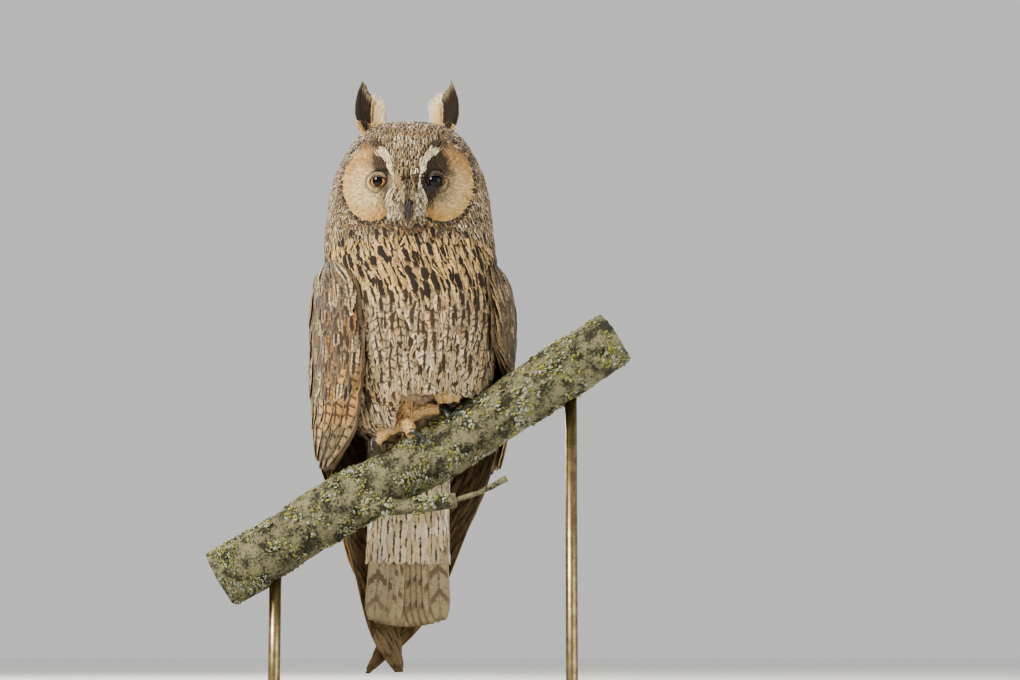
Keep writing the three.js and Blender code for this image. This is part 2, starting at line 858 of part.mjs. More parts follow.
function twigSolid() {
  const stub = [
    [-46, -19, 134],
    [-30, -33, 131.5],
    [-2, -38, 131.5],
    [28, -39, 135.5],
  ];
  const stubSize = (t) => [5.4 - 1 * t, 5.6 - 0.8 * t];
  const twig = [
    [20, -39, 134.5],
    [34, -39, 137.5],
    [48, -38, 143],
    [61, -37, 150],
  ];
  const twigSize = (t) => [1.6 + 0.5 * t ** 4, 1.6 + 0.5 * t ** 4];
  const across = new THREE.Vector3(0, 1, 0);
  return fuse([sweep(stub, stubSize, 8, 5, across), sweep(twig, twigSize, 6, 4, across)]);
}

function rodSolid(x) {
  const branchHeight = profile(BRANCH_LINE)(x)[0];
  const height = branchHeight - STAND.baseHeight - GAP;
  const foot = STAND.rodRadius * 2.6;
  const outline = [
    [0, 0],
    [foot, 0],
    [foot, 2.2],
    [foot - 1, 3.2],
    [STAND.rodRadius + 1, 4.2],
    [STAND.rodRadius, 6],
    [STAND.rodRadius, height],
    [0, height],
  ].map((point) => new THREE.Vector2(...point));
  const geometry = new THREE.LatheGeometry(outline, 12);
  geometry.rotateX(Math.PI / 2);
  geometry.translate(x, BRANCH.y, STAND.baseHeight + GAP);
  return solid(geometry);
}

function baseSolid() {
  const [halfX, halfY, corner] = [STAND.baseLength / 2, STAND.baseDepth / 2, STAND.baseCorner];
  const bevel = 2;
  const outline = new THREE.Shape();
  const [right, back, round] = [halfX - bevel, halfY - bevel, corner - bevel];
  outline.moveTo(-right + round, -back);
  outline.lineTo(right - round, -back);
  outline.absarc(right - round, -back + round, round, -Math.PI / 2, 0);
  outline.lineTo(right, back - round);
  outline.absarc(right - round, back - round, round, 0, Math.PI / 2);
  outline.lineTo(-right + round, back);
  outline.absarc(-right + round, back - round, round, Math.PI / 2, Math.PI);
  outline.lineTo(-right, -back + round);
  outline.absarc(-right + round, -back + round, round, Math.PI, Math.PI * 1.5);
  const geometry = new THREE.ExtrudeGeometry(outline, {
    depth: STAND.baseHeight - 2 * bevel,
    bevelEnabled: true,
    bevelSize: bevel,
    bevelThickness: bevel,
    bevelSegments: 1,
    curveSegments: 4,
  });
  geometry.translate(0, 0, bevel);
  return solid(geometry);
}

// Materials

const FINISH = {
  face: new THREE.MeshStandardMaterial({ color: 0xb98a57, roughness: 0.95, metalness: 0 }),
  coat: new THREE.MeshStandardMaterial({ color: 0x9c7c58, roughness: 0.95, metalness: 0 }),
  belly: new THREE.MeshStandardMaterial({ color: 0xb39a7d, roughness: 0.95, metalness: 0 }),
  wing: new THREE.MeshStandardMaterial({ color: 0x6f5b3c, roughness: 0.9, metalness: 0 }),
  tail: new THREE.MeshStandardMaterial({ color: 0x7c6a48, roughness: 0.9, metalness: 0 }),
  tuft: new THREE.MeshStandardMaterial({ color: 0x3b2a20, roughness: 0.95, metalness: 0 }),
  leg: new THREE.MeshStandardMaterial({ color: 0xc58a52, roughness: 0.95, metalness: 0 }),
  horn: new THREE.MeshStandardMaterial({ color: 0x3a3733, roughness: 0.45, metalness: 0 }),
  eye: new THREE.MeshStandardMaterial({ color: 0xc8641c, roughness: 0.05, metalness: 0 }),
  bark: new THREE.MeshStandardMaterial({ color: 0x6a5f47, roughness: 0.95, metalness: 0 }),
  base: new THREE.MeshStandardMaterial({ color: 0x2c211a, roughness: 0.45, metalness: 0 }),
  rod: new THREE.MeshStandardMaterial({ color: 0x8a7a55, roughness: 0.35, metalness: 1 }),
};

// The owl

const owl = new THREE.Group();

function add(name, body, finish) {
  const mesh = new THREE.Mesh(geometryOf(largest(body)), finish);
  mesh.name = name;
  owl.add(mesh);
}

const branch = fuse([branchSolid(), twigSolid()]);
const branchClear = branchSolid(1.2);
const feet = { right: FOOT_RIGHT, left: FOOT_LEFT };

const legPocket = ball([21, 21, 24], [-5.5, -33, 178], [10, 7]);
const toePocket = ball([18, 19, 15], [9, -32, 190], [10, 7]);
const tuckPocket = ball([13, 16, 15], [22.5, -23, 205], [10, 7]);
const legRoom = fuse([
  shankSolid(FOOT_RIGHT, GAP),
  shankSolid(FOOT_LEFT, GAP),
  toeSolid(FOOT_RIGHT, FOOT_RIGHT.toes[0], GAP * 2),
  toeSolid(FOOT_RIGHT, FOOT_RIGHT.toes[3], GAP * 2),
]);
const trunk = fuse([trunkSolid(), rumpSolid(215, 150, 5)])
  .subtract(fuse([legPocket, toePocket, tuckPocket]))
  .subtract(fuse([branchClear, legRoom]));

add("torso", slice(trunk, BODY.tailTop + GAP / 2, BODY.neckBottom - GAP / 2), FINISH.belly);
add("neck", slice(trunk, BODY.neckBottom + GAP / 2, BODY.neckTop - GAP / 2), FINISH.coat);
add("tail", tail(), FINISH.tail);
add("wing_right", wing("right"), FINISH.wing);
add("wing_left", wing("left"), FINISH.wing);

add("head", head(), FINISH.face);
add("bill_upper", billUpper().subtract(nostrils()), FINISH.horn);
add("bill_lower", billLower().subtract(billUpper(GAP)), FINISH.horn);
add("eye_right", eyeSolid(-1), FINISH.eye);
add("eye_left", eyeSolid(1), FINISH.eye);
add("ear_tuft_right", earTuft(-1), FINISH.tuft);
add("ear_tuft_left", earTuft(1), FINISH.tuft);

for (const side of ["right", "left"]) {
  const claws = clawSolids(feet[side]);
  const clawsClear = fuse(clawSolids(feet[side], GAP));
  const leg = footSolid(feet[side]).subtract(clawsClear).subtract(branchSolid(GAP));
  add(`leg_${side}`, leg, FINISH.leg);
  claws.forEach((claw, i) => {
    add(`claw_${side}_${i + 1}`, claw.subtract(branchSolid(GAP)), FINISH.horn);
  });
}

add("perch_branch", branch, FINISH.bark);
add("stand_rod_left", rodSolid(STAND.rodLeftX).subtract(branchSolid(GAP)), FINISH.rod);
add("stand_rod_right", rodSolid(STAND.rodRightX).subtract(branchSolid(GAP)), FINISH.rod);
add("stand_base", baseSolid(), FINISH.base);

export default owl;
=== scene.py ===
"""Looks of a life-size long-eared owl on a cut branch, held by a plain display stand."""

import logging
import math
from dataclasses import dataclass, field
from enum import Enum
from typing import Callable

import bmesh
import bpy
import numpy as np
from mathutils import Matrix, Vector, noise


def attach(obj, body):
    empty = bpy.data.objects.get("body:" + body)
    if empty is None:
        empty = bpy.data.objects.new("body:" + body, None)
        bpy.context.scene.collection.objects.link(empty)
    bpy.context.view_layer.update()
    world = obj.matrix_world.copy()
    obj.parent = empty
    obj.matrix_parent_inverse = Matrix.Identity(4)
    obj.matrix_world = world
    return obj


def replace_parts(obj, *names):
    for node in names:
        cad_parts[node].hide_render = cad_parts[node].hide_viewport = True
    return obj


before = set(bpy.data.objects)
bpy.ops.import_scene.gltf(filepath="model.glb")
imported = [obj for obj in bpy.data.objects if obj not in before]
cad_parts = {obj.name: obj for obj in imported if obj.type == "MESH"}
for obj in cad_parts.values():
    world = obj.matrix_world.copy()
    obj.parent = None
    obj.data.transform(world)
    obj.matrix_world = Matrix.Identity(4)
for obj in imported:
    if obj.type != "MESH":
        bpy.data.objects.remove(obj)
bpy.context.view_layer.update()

LOG = logging.getLogger("owl")
MM = 0.001
TAU = 2 * math.pi
Array = np.ndarray
Draw = np.random.Generator
Socket = bpy.types.NodeSocket


class Side(Enum):
    """The owl's own sides."""

    RIGHT = -1
    LEFT = 1


# Shared arithmetic


def smooth(value: Array, low: float, high: float) -> Array:
    """An even step from 0 at low to 1 at high."""
    share = np.clip((np.asarray(value, float) - low) / (high - low), 0, 1)
    return share * share * (3 - 2 * share)


def mix(a: Array, b: Array, share: Array) -> Array:
    """Between a and b, where share may be one number for each row."""
    share = np.asarray(share, float)
    if share.ndim and np.ndim(a) + np.ndim(b) > 0 and np.shape(a)[-1:] == (3,):
        share = share[..., None]
    return np.asarray(a, float) * (1 - share) + np.asarray(b, float) * share


class Profile:
    """A smooth line through rows of [position, value, value, ...]."""

    def __init__(self, rows: list) -> None:
        """Keeps the rows and the slope of each value at each of them."""
        table = np.array(rows, float)
        self.at = table[:, 0]
        self.values = table[:, 1:]
        self.slopes = np.gradient(self.values, self.at, axis=0)

    def __call__(self, at: Array) -> Array:
        """The values at each position, one column for each."""
        at = np.clip(np.asarray(at, float), self.at[0], self.at[-1])
        i = np.clip(np.searchsorted(self.at, at, side="right") - 1, 0, len(self.at) - 2)
        span = self.at[i + 1] - self.at[i]
        s = ((at - self.at[i]) / span)[..., None]
        span = span[..., None]
        start = (2 * s**3 - 3 * s**2 + 1) * self.values[i] + (s**3 - 2 * s**2 + s) * span * self.slopes[i]
        end = (3 * s**2 - 2 * s**3) * self.values[i + 1] + (s**3 - s**2) * span * self.slopes[i + 1]
        return start + end


# The owl's own forms, in millimetres, as in the part


@dataclass
class DiscForm:
    """The ball that hollows out one facial disc."""

    side: Side
    head_x: float = -5.7
    out: float = 12.5
    offset: float = 22.0
    y: float = -36.5
    z: float = 351.0
    radii: tuple = (46.0, 14.0, 60.0)
    turn: float = math.radians(32)

    def carve(self, points: Array) -> Array:
        """Sets points that lie inside the ball back to its far side.

        Args:
            points: places on the uncut head.

        Returns:
            The places on the hollowed head.
        """
        side = self.side.value
        centre = np.array(
            [
                self.head_x + side * (self.offset + self.out * math.sin(self.turn)),
                self.y - self.out * math.cos(self.turn),
                self.z,
            ]
        )
        c, s = math.cos(side * self.turn), math.sin(side * self.turn)
        back = np.array([[c, s, 0], [-s, c, 0], [0, 0, 1]])
        radii = np.array(self.radii)
        local = (points - centre) @ back.T / radii
        push = back @ np.array([0, 1, 0]) / radii
        qa = push @ push
        qb = 2 * local @ push
        qc = (local**2).sum(-1) - 1
        root = (-qb + np.sqrt(np.maximum(qb * qb - 4 * qa * qc, 0))) / (2 * qa)
        shift = np.where(qc < 0, root, 0)
        return points + shift[..., None] * np.array([0, 1, 0])


@dataclass
class BodyForm:
    """Outer surface of trunk, neck and head, by angle from straight ahead and height."""

    yaw: float = math.radians(12)
    x: float = -2.0
    head_x: float = -5.7
    straight_from: float = 262.0
    neck_top: float = 322.0
    low: float = 175.0
    high: float = 394.3
    rows: Profile = field(
        default_factory=lambda: Profile(
            [
                [175, 10, 8, 10], [177, 24, 20, 22], [182, 36, 31, 30], [190, 43, 38, 34],
                [202, 49, 44, 38], [218, 53, 48.5, 41], [238, 55.5, 51.5, 44], [260, 57, 52.5, 46],
                [285, 57.5, 50, 46], [303, 57.5, 45, 43.5], [322, 56.3, 42, 41.5], [334, 55, 43, 43],
                [346, 53.4, 43.5, 43.5], [361, 49.5, 42.5, 41], [372, 44.5, 40, 36.5], [380, 40, 36.5, 32],
                [387, 34.5, 31, 26.5], [391.5, 27.5, 24, 20], [393.7, 18, 16, 13], [394.3, 7, 6, 5],
            ]
        )
    )
    discs: tuple = field(default_factory=lambda: (DiscForm(Side.RIGHT), DiscForm(Side.LEFT)))

    def frame_point(self, x: Array, y: Array, z: Array) -> Array:
        """A point of the trunk's turned frame, which comes round straight under the head."""
        straight = smooth(z, self.straight_from, self.neck_top)
        turn = self.yaw * (1 - straight)
        shift = self.x + (self.head_x - self.x) * straight
        return np.stack(
            [x * np.cos(turn) - y * np.sin(turn) + shift, x * np.sin(turn) + y * np.cos(turn), z + 0 * x], -1
        )

    def raw(self, angle: Array, z: Array, lift: Array) -> Array:
        """The surface before the discs are hollowed out."""
        angle, z, lift = np.broadcast_arrays(angle, z, lift)
        width, front, back = np.moveaxis(self.rows(z), -1, 0)
        ahead = np.cos(angle)
        depth = np.where(ahead > 0, front, back)
        up = smooth(z, 380, 394)
        out = lift * (1 - 0.6 * up)
        return self.frame_point(np.sin(angle) * (width + out), -ahead * (depth + out), z + lift * up)

    def point(self, angle: Array, z: Array, lift: Array) -> Array:
        """A place on the surface, lifted outwards.

        Args:
            angle: radians from straight ahead, towards the owl's left.
            z: height.
            lift: outwards, in millimetres.

        Returns:
            Places, with x, y and z last.
        """
        ground = self.raw(angle, z, np.zeros_like(z))
        cut = ground
        for disc in self.discs:
            cut = disc.carve(cut)
        return cut + self.raw(angle, z, lift) - ground

    def scale(self, angle: Array, z: Array) -> Array:
        """Millimetres across the surface for each radian."""
        width, front, back = np.moveaxis(self.rows(z), -1, 0)
        depth = np.where(np.cos(angle) > 0, front, back)
        return np.sqrt((width * np.cos(angle)) ** 2 + (depth * np.sin(angle)) ** 2) + 1

    def patch(self, angle: Array, z: Array) -> Array:
        """Where a place lies on the unrolled skin, from 0 to 1 both ways."""
        around = (np.asarray(angle) / TAU + 0.5) % 1.0
        return np.stack([0.01 + around * 0.96, 0.01 + 0.97 * (z - self.low) / (self.high - self.low)], -1)


BODY = BodyForm()


@dataclass
class WingForm:
    """Outer face of one folded wing, by share of its breadth and height."""

    side: Side
    clear: float = 1.7
    crossing: float = 8.0
    rows: Profile = field(
        default_factory=lambda: Profile(
            [
                [20, 36, 6, 44, 1.5], [50, 36, 9, 42, 2.5], [80, 38, 13, 37, 3], [113, 46.5, 20, 31, 4],
                [150, 59, 33, 19, 6], [178, 65.5, 45, 6, 8], [205, 67.5, 52, 0, 9], [234, 68, 55, 0, 10],
                [260, 68, 56, 0, 10], [276, 67, 55.5, 0, 9], [290, 64, 53, 0, 5], [301, 60, 48, 0, 1.5],
            ]
        )
    )
    edges: Profile = None

    def __post_init__(self) -> None:
        """Picks this side's edge angles."""
        right = [
            [20, 172, 191], [50, 131, 192], [80, 104, 178], [113, 88, 172], [150, 84, 168], [160, 68, 167],
            [178, 48, 165], [205, 42, 162], [260, 43, 160], [290, 50, 150], [301, 66, 130],
        ]
        left = [
            [20, 218, 241], [50, 156, 213], [80, 112, 180], [113, 88, 174], [150, 74, 168], [178, 76, 165],
            [216, 79, 162], [228, 62, 161], [242, 50, 160], [260, 48, 160], [290, 54, 150], [301, 68, 130],
        ]
        self.edges = Profile(right if self.side is Side.RIGHT else left)

    def point(self, share: Array, z: Array, lift: Array, inner: bool = False) -> Array:
        """A place on the wing, lifted from its outer or inner face."""
        share, z, lift = np.broadcast_arrays(share, z, lift)
        width, depth, y, thick = np.moveaxis(self.rows(z), -1, 0)
        trunk = BODY.rows(z) * (z > 175)[..., None]
        front, back = np.moveaxis(self.edges(z), -1, 0)
        angle = np.radians(front + (back - front) * share)
        ahead = np.cos(angle)
        aside = np.sin(angle) * self.side.value
        trunk_depth = np.where(ahead > 0, trunk[..., 1], trunk[..., 2])
        inner_width = np.maximum(trunk[..., 0] + self.clear, width - thick)
        inner_depth = np.maximum(trunk_depth + self.clear, depth - thick)
        room = np.maximum(1.2, np.minimum(width - inner_width, thick))
        inward = 0.06 + 0.88 * np.clip(share, 0, 1)
        out = (0 if inner else np.maximum(1.2, room * np.sin(np.pi * inward) ** 0.35)) + lift
        apart = np.where(z < 110, (110 - z) / 86 * self.crossing, 0) if self.side is Side.LEFT else 0
        return BODY.frame_point(aside * (inner_width + out), y + apart - ahead * (inner_depth + out), z)

    def scale(self, share: Array, z: Array) -> Array:
        """Millimetres across the wing for each unit of share."""
        front, back = np.moveaxis(self.edges(z), -1, 0)
        return np.radians(back - front) * self.rows(z)[..., 0]

    def patch(self, share: Array, z: Array) -> Array:
        """Where a place lies on the unrolled wing."""
        half = 0.0 if self.side is Side.RIGHT else 0.5
        return np.stack([half + 0.02 + 0.44 * np.clip(share, 0, 1), 0.02 + 0.94 * (z - 14) / 290], -1)


@dataclass
class TubeForm:
    """A round limb along a bent line, by angle about it and distance along it."""

    line: list
    size: Callable[[Array], tuple]
    across: tuple = (1.0, 0.0, 0.0)

    def __post_init__(self) -> None:
        """Measures the line."""
        points = np.array(self.line, float)
        shares = np.linspace(0, 1, len(points))
        self.curve = Profile(np.column_stack([shares, points]).tolist())
        steps = self.curve(np.linspace(0, 1, 60))
        self.length = float(np.linalg.norm(np.diff(steps, axis=0), axis=1).sum())

    def point(self, angle: Array, along: Array, lift: Array) -> Array:
        """A place on the limb, lifted outwards; along is in millimetres."""
        angle, along, lift = np.broadcast_arrays(angle, along, lift)
        t = np.clip(along / self.length, 0, 1)
        centre = self.curve(t)
        ahead = self.curve(np.clip(t + 0.01, 0, 1)) - self.curve(np.clip(t - 0.01, 0, 1))
        ahead /= np.linalg.norm(ahead, axis=-1, keepdims=True)
        beyond = (along / self.length - t)[..., None] * self.length
        side = np.array(self.across) - (ahead @ np.array(self.across))[..., None] * ahead
        side /= np.linalg.norm(side, axis=-1, keepdims=True)
        up = np.cross(ahead, side)
        wide, high = self.size(t)
        return (
            centre
            + ahead * beyond
            + side * (np.cos(angle) * (wide + lift))[..., None]
            + up * (np.sin(angle) * (high + lift))[..., None]
        )

    def scale(self, angle: Array, along: Array) -> Array:
        """Millimetres round the limb for each radian."""
        return self.size(np.clip(along / self.length, 0, 1))[0] + 0 * angle

    def patch(self, angle: Array, along: Array) -> Array:
        """Where a place lies on the unrolled limb."""
        return np.stack(
            [0.02 + 0.94 * ((angle / TAU) % 1.0), 0.02 + 0.94 * np.clip(along / self.length, 0, 1)], -1
        )


class FlatForm:
    """A form whose surface coordinates are both in millimetres."""

    def scale(self, a: Array, b: Array) -> Array:
        """Millimetres for each unit of the first coordinate."""
        return 1.0 + 0 * a + 0 * b


def float_of(value: Array) -> Array:
    """A number or list as an array of floats."""
    return np.asarray(value, float)


# Colours of the coat, as linear values

CREAM = np.array([0.78, 0.61, 0.35])
WHITE = np.array([0.84, 0.77, 0.61])
BUFF = np.array([0.70, 0.43, 0.14])
ORANGE = np.array([0.66, 0.31, 0.08])
TAN = np.array([0.47, 0.34, 0.19])
DARK = np.array([0.030, 0.019, 0.012])
BROWN = np.array([0.12, 0.072, 0.038])
GREY = np.array([0.31, 0.245, 0.17])
UMBER = np.array([0.20, 0.145, 0.092])
LICHEN_GREEN = np.array([0.36, 0.36, 0.07])
LICHEN_SILVER = np.array([0.44, 0.47, 0.36])


@dataclass
class Marks:
    """How each feather of a set is marked."""

    ground: Array
    mark: Array
    streak: Array
    bars: Array
    edge: Array

    @classmethod
    def even(cls, count: int, ground: Array, mark: Array, *amounts: Array) -> "Marks":
        """Marks of a set, where a colour or one of streak, bars and edge may be given once for all."""
        colours = (np.broadcast_to(colour, (count, 3)) for colour in (ground, mark))
        return cls(*colours, *(np.broadcast_to(float_of(amount), count) for amount in amounts))


def body_marks(angle: Array, z: Array, draw: Draw) -> Marks:
    """Colours of the trunk, neck and head by place.

    Args:
        angle: radians from straight ahead.
        z: height.
        draw: source of the small differences between feathers.

    Returns:
        The marks of a feather rooted at each place.
    """
    count = np.shape(angle)
    front = smooth(np.cos(angle), 0.0, 0.55)
    chest = smooth(z, 266, 290)
    chin = smooth(z, 312, 324) * front
    nape = smooth(z, 296, 318) * (1 - front)
    ground = mix(WHITE, TAN, 0.35 + 0.65 * draw.random(count))
    ground = mix(ground, BUFF, 0.35 * draw.random(count))
    ground = mix(ground, mix(CREAM, BUFF, 0.4 + 0.6 * draw.random(count)), 0.9 * chest)
    ground = mix(mix(UMBER, BUFF, 0.35 * draw.random(count)), ground, front)
    ground = mix(ground, mix(GREY, WHITE, 0.6 * draw.random(count)), nape * 0.8)
    ground = mix(ground, mix(DARK, CREAM, draw.random(count) ** 2), chin * 0.85)
    mark = mix(BROWN, DARK, 0.55 + 0.45 * chest)
    bold = draw.random(count) < 0.5
    streak = np.where(bold, 0.40, 0.22) + chest * np.where(bold, 0.30, 0.06) + (1 - front) * 0.2
    streak = mix(streak, 0.34 + 0.22 * draw.random(count), nape)
    bars = mix(0.85 + 0 * z, 0.35, chest) * front + (1 - front) * 0.7
    bars = mix(bars, 0.35, nape)
    edge = 0.25 + 0.35 * draw.random(count)
    return Marks(ground, mark, streak, bars, edge)


# Feathers as joined arrays


@dataclass
class Coat:
    """One joined mesh of many feathers, each a thin closed leaf rooted in the skin."""

    name: str
    slot: str
    columns: int = 2
    rows: int = 5
    thickness: float = 0.35
    places: list = field(default_factory=list)
    vanes: list = field(default_factory=list)
    patches: list = field(default_factory=list)
    marks: list = field(default_factory=list)
    flips: list = field(default_factory=list)

    def template(self) -> tuple:
        """The leaf's own grid: across, along, face and its quads."""
        wide, tall = self.columns + 1, self.rows + 1
        u, t = np.meshgrid(np.linspace(-1, 1, wide), np.linspace(0, 1, tall))
        u, t = u.ravel(), t.ravel()
        one = wide * tall
        quads = []
        for row in range(self.rows):
            for column in range(self.columns):
                a = row * wide + column
                quads.append((a, a + 1, a + 1 + wide, a + wide))
                quads.append((a + one, a + wide + one, a + 1 + wide + one, a + 1 + one))
        rim = list(range(wide))
        rim += [row * wide + wide - 1 for row in range(1, tall)]
        rim += [self.rows * wide + column for column in range(wide - 2, -1, -1)]
        rim += [row * wide for row in range(tall - 2, 0, -1)]
        for a, b in zip(rim, rim[1:] + rim[:1]):
            quads.append((b, a, a + one, b + one))
        return np.tile(u, 2), np.tile(t, 2), np.repeat([1.0, -1.0], one), np.array(quads)

    def lay(
        self,
        form: object,
        root: tuple,
        tip: tuple,
        half: Array,
        lift: tuple,
        marks: Marks,
        draw: Draw,
        tilt: Array = 0.0,
        cup: float = 0.6,
        blunt: float = 0.55,
        base: float = 0.45,
        ragged: float = 0.0,
        curl: float = 0.0,
        patch_size: float = 0.003,
    ) -> None:
        """Adds a set of feathers to the coat.

        Args:
            form: the surface they lie on.
            root: the roots' two surface coordinates.
            tip: the tips' two surface coordinates.
            half: half width of each.
            lift: heights over the surface at root and tip.
            marks: colours of each.
            draw: source of small differences.
            tilt: how far one edge rises over its neighbour.
            cup: how far the edges turn down to the skin.
            blunt: share of the length where the leaf begins to round off.
            base: share of the width at the root.
            ragged: how uneven the outline is.
            curl: how far the tip turns in.
            patch_size: each feather's size on the baked map.
        """
        u, t, face, _ = self.template()
        a0, b0, a1, b1, half = map(float_of, np.broadcast_arrays(*root, *tip, half))
        count = len(a0)
        s = 1 - (1 - t) ** 1.3
        leaf = base + (1 - base) * smooth(s, 0, 0.4)
        leaf = leaf * np.sqrt(1 - np.clip((s - blunt) / (1.02 - blunt), 0, 1) ** 2)
        uneven = 1 + ragged * (draw.random((count, len(u) // 2)) - 0.5) * 2
        uneven = np.tile(uneven, 2)
        a = a0[:, None] + (a1 - a0)[:, None] * s
        b = b0[:, None] + (b1 - b0)[:, None] * s
        scale = np.maximum(form.scale(a, b), 0.5)
        mid = scale.mean(1)
        head_a, head_b = (a1 - a0) * mid, b1 - b0
        size = np.hypot(head_a, head_b) + 1e-9
        head_a, head_b = head_a / size, head_b / size
        out = u * half[:, None] * leaf * uneven
        stray = ragged * 0.25 * half[:, None] * (uneven - 1) * (s > 0.6)
        low, high = (np.broadcast_to(float_of(v), count) for v in lift)
        rise = low[:, None] + (high - low)[:, None] * smooth(s, 0, 0.6) - curl * smooth(s, 0.55, 1) ** 2
        rise = rise - cup * (u * leaf) ** 2 - np.broadcast_to(tilt, count)[:, None] * u
        rise = rise + face * self.thickness / 2 * (1 - 0.4 * s)
        points = form.point(
            a - head_b[:, None] * out / scale + head_a[:, None] * stray / scale,
            b + head_a[:, None] * out + head_b[:, None] * stray,
            rise,
        )
        one = len(u) // 2
        step_u = points[:, 1] - points[:, 0]
        step_t = points[:, self.columns + 1] - points[:, 0]
        up = points[:, 0] - points[:, one]
        turned = (np.cross(step_u, step_t) * up).sum(-1).mean() < 0
        self.flips.append(np.full(count, turned))
        self.places.append(points)
        self.vanes.append(np.broadcast_to(np.stack([u / 2 + 0.5, s], -1), (count, len(u), 2)))
        spot = form.patch(a0, b0)[:, None, :]
        self.patches.append(np.clip(spot + patch_size * np.stack([u / 2, s], -1), 0, 1))
        traits = np.stack([marks.streak, marks.bars, marks.edge], -1)
        self.marks.append((marks.ground, marks.mark, traits, draw.random(count)))

    def build(self, finish: "VaneFinish") -> bpy.types.Object:
        """Joins the feathers into one piece of the model.

        Args:
            finish: the feathers' material.

        Returns:
            The joined piece.
        """
        _, _, _, quads = self.template()
        points = np.concatenate(self.places)
        count, each = points.shape[:2]
        faces = np.broadcast_to(quads, (count, *quads.shape)).copy()
        flips = np.concatenate(self.flips)
        faces[flips] = faces[flips][:, :, ::-1]
        faces = (faces + (np.arange(count) * each)[:, None, None]).reshape(-1, 4)
        mesh = bpy.data.meshes.new(self.name)
        mesh.vertices.add(count * each)
        mesh.vertices.foreach_set("co", (points * MM).astype(np.float32).ravel())
        mesh.loops.add(faces.size)
        mesh.loops.foreach_set("vertex_index", faces.ravel().astype(np.int32))
        mesh.polygons.add(len(faces))
        mesh.polygons.foreach_set("loop_start", np.arange(0, faces.size, 4, dtype=np.int32))
        mesh.polygons.foreach_set("use_smooth", np.ones(len(faces), bool))
        mesh.update(calc_edges=True)
        corner = faces.ravel()
        for name, values in (("Vane", self.vanes), ("OFBake", self.patches)):
            set_map(mesh, name, np.concatenate(values).reshape(-1, 2)[corner])
        for k, name in enumerate(("ground", "mark", "traits")):
            values = np.concatenate([m[k] for m in self.marks])
            lucky = np.concatenate([m[3] for m in self.marks])[:, None]
            set_colours(mesh, name, np.repeat(np.concatenate([values, lucky], 1), each, axis=0))
        mesh.validate()
        piece = add_piece(self.name, mesh, self.slot, finish.material())
        LOG.info("%s: %d feathers, %d triangles", self.name, count, len(faces) * 2)
        return piece


def set_map(mesh: bpy.types.Mesh, name: str, spots: Array) -> None:
    """Gives a mesh a map with a spot for each corner."""
    mesh.uv_layers.new(name=name).data.foreach_set("uv", spots.astype(np.float32).ravel())


def set_colours(mesh: bpy.types.Mesh, name: str, colours: Array) -> None:
    """Gives a mesh a colour for each vert."""
    layer = mesh.attributes.new(name, "FLOAT_COLOR", "POINT")
    layer.data.foreach_set("color", colours.astype(np.float32).ravel())


def set_places(bm: bmesh.types.BMesh, places: Array) -> None:
    """Moves each vert to its place."""
    for vert, place in zip(bm.verts, places):
        vert.co = place


def add_piece(name: str, mesh: bpy.types.Mesh, slot: str, *finishes: bpy.types.Material) -> bpy.types.Object:
    """Puts a finished mesh in the scene, riding on the model's only body."""
    piece = bpy.data.objects.new(name, mesh)
    bpy.context.scene.collection.objects.link(piece)
    for finish in finishes:
        mesh.materials.append(finish)
    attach(piece, "root")
    return piece


def mesh_of(name: str, bm: bmesh.types.BMesh, smoothed: bool = True) -> bpy.types.Mesh:
    """Turns a bmesh in millimetres into a mesh, its faces outwards."""
    bmesh.ops.remove_doubles(bm, verts=bm.verts, dist=1e-4)
    bmesh.ops.recalc_face_normals(bm, faces=bm.faces)
    bmesh.ops.scale(bm, vec=(MM, MM, MM), verts=bm.verts)
    for face in bm.faces:
        face.smooth = smoothed
    mesh = bpy.data.meshes.new(name)
    bm.to_mesh(mesh)
    bm.free()
    return mesh


def rise_of(edge: bmesh.types.BMEdge) -> float:
    """How far one end of an edge is above the other."""
    return abs(edge.verts[0].co.z - edge.verts[1].co.z)


def cut_cylinder(segments: int, cuts: int, capped: bool) -> tuple:
    """A unit cylinder cut into rings, with each vert's angle and share of the height."""
    bm = bmesh.new()
    bmesh.ops.create_cone(bm, cap_ends=capped, segments=segments, radius1=1, radius2=1, depth=1)
    long_edges = [e for e in bm.edges if rise_of(e) > 0.5]
    bmesh.ops.subdivide_edges(bm, edges=long_edges, cuts=cuts, use_grid_fill=True)
    flat = np.array([v.co for v in bm.verts])
    return bm, np.arctan2(flat[:, 1], flat[:, 0]), flat[:, 2] + 0.5


def add_tube(whole: bmesh.types.BMesh, form: TubeForm, segments: int, cuts: int) -> None:
    """Adds a capped tube along a limb's line: a cylinder, cut into rings and bent."""
    bm, angle, share = cut_cylinder(segments, cuts, capped=True)
    set_places(bm, form.point(angle, share * form.length, np.zeros(len(angle))))
    mesh = bpy.data.meshes.new("tube")
    bm.to_mesh(mesh)
    bm.free()
    whole.from_mesh(mesh)
    bpy.data.meshes.remove(mesh)


# Materials


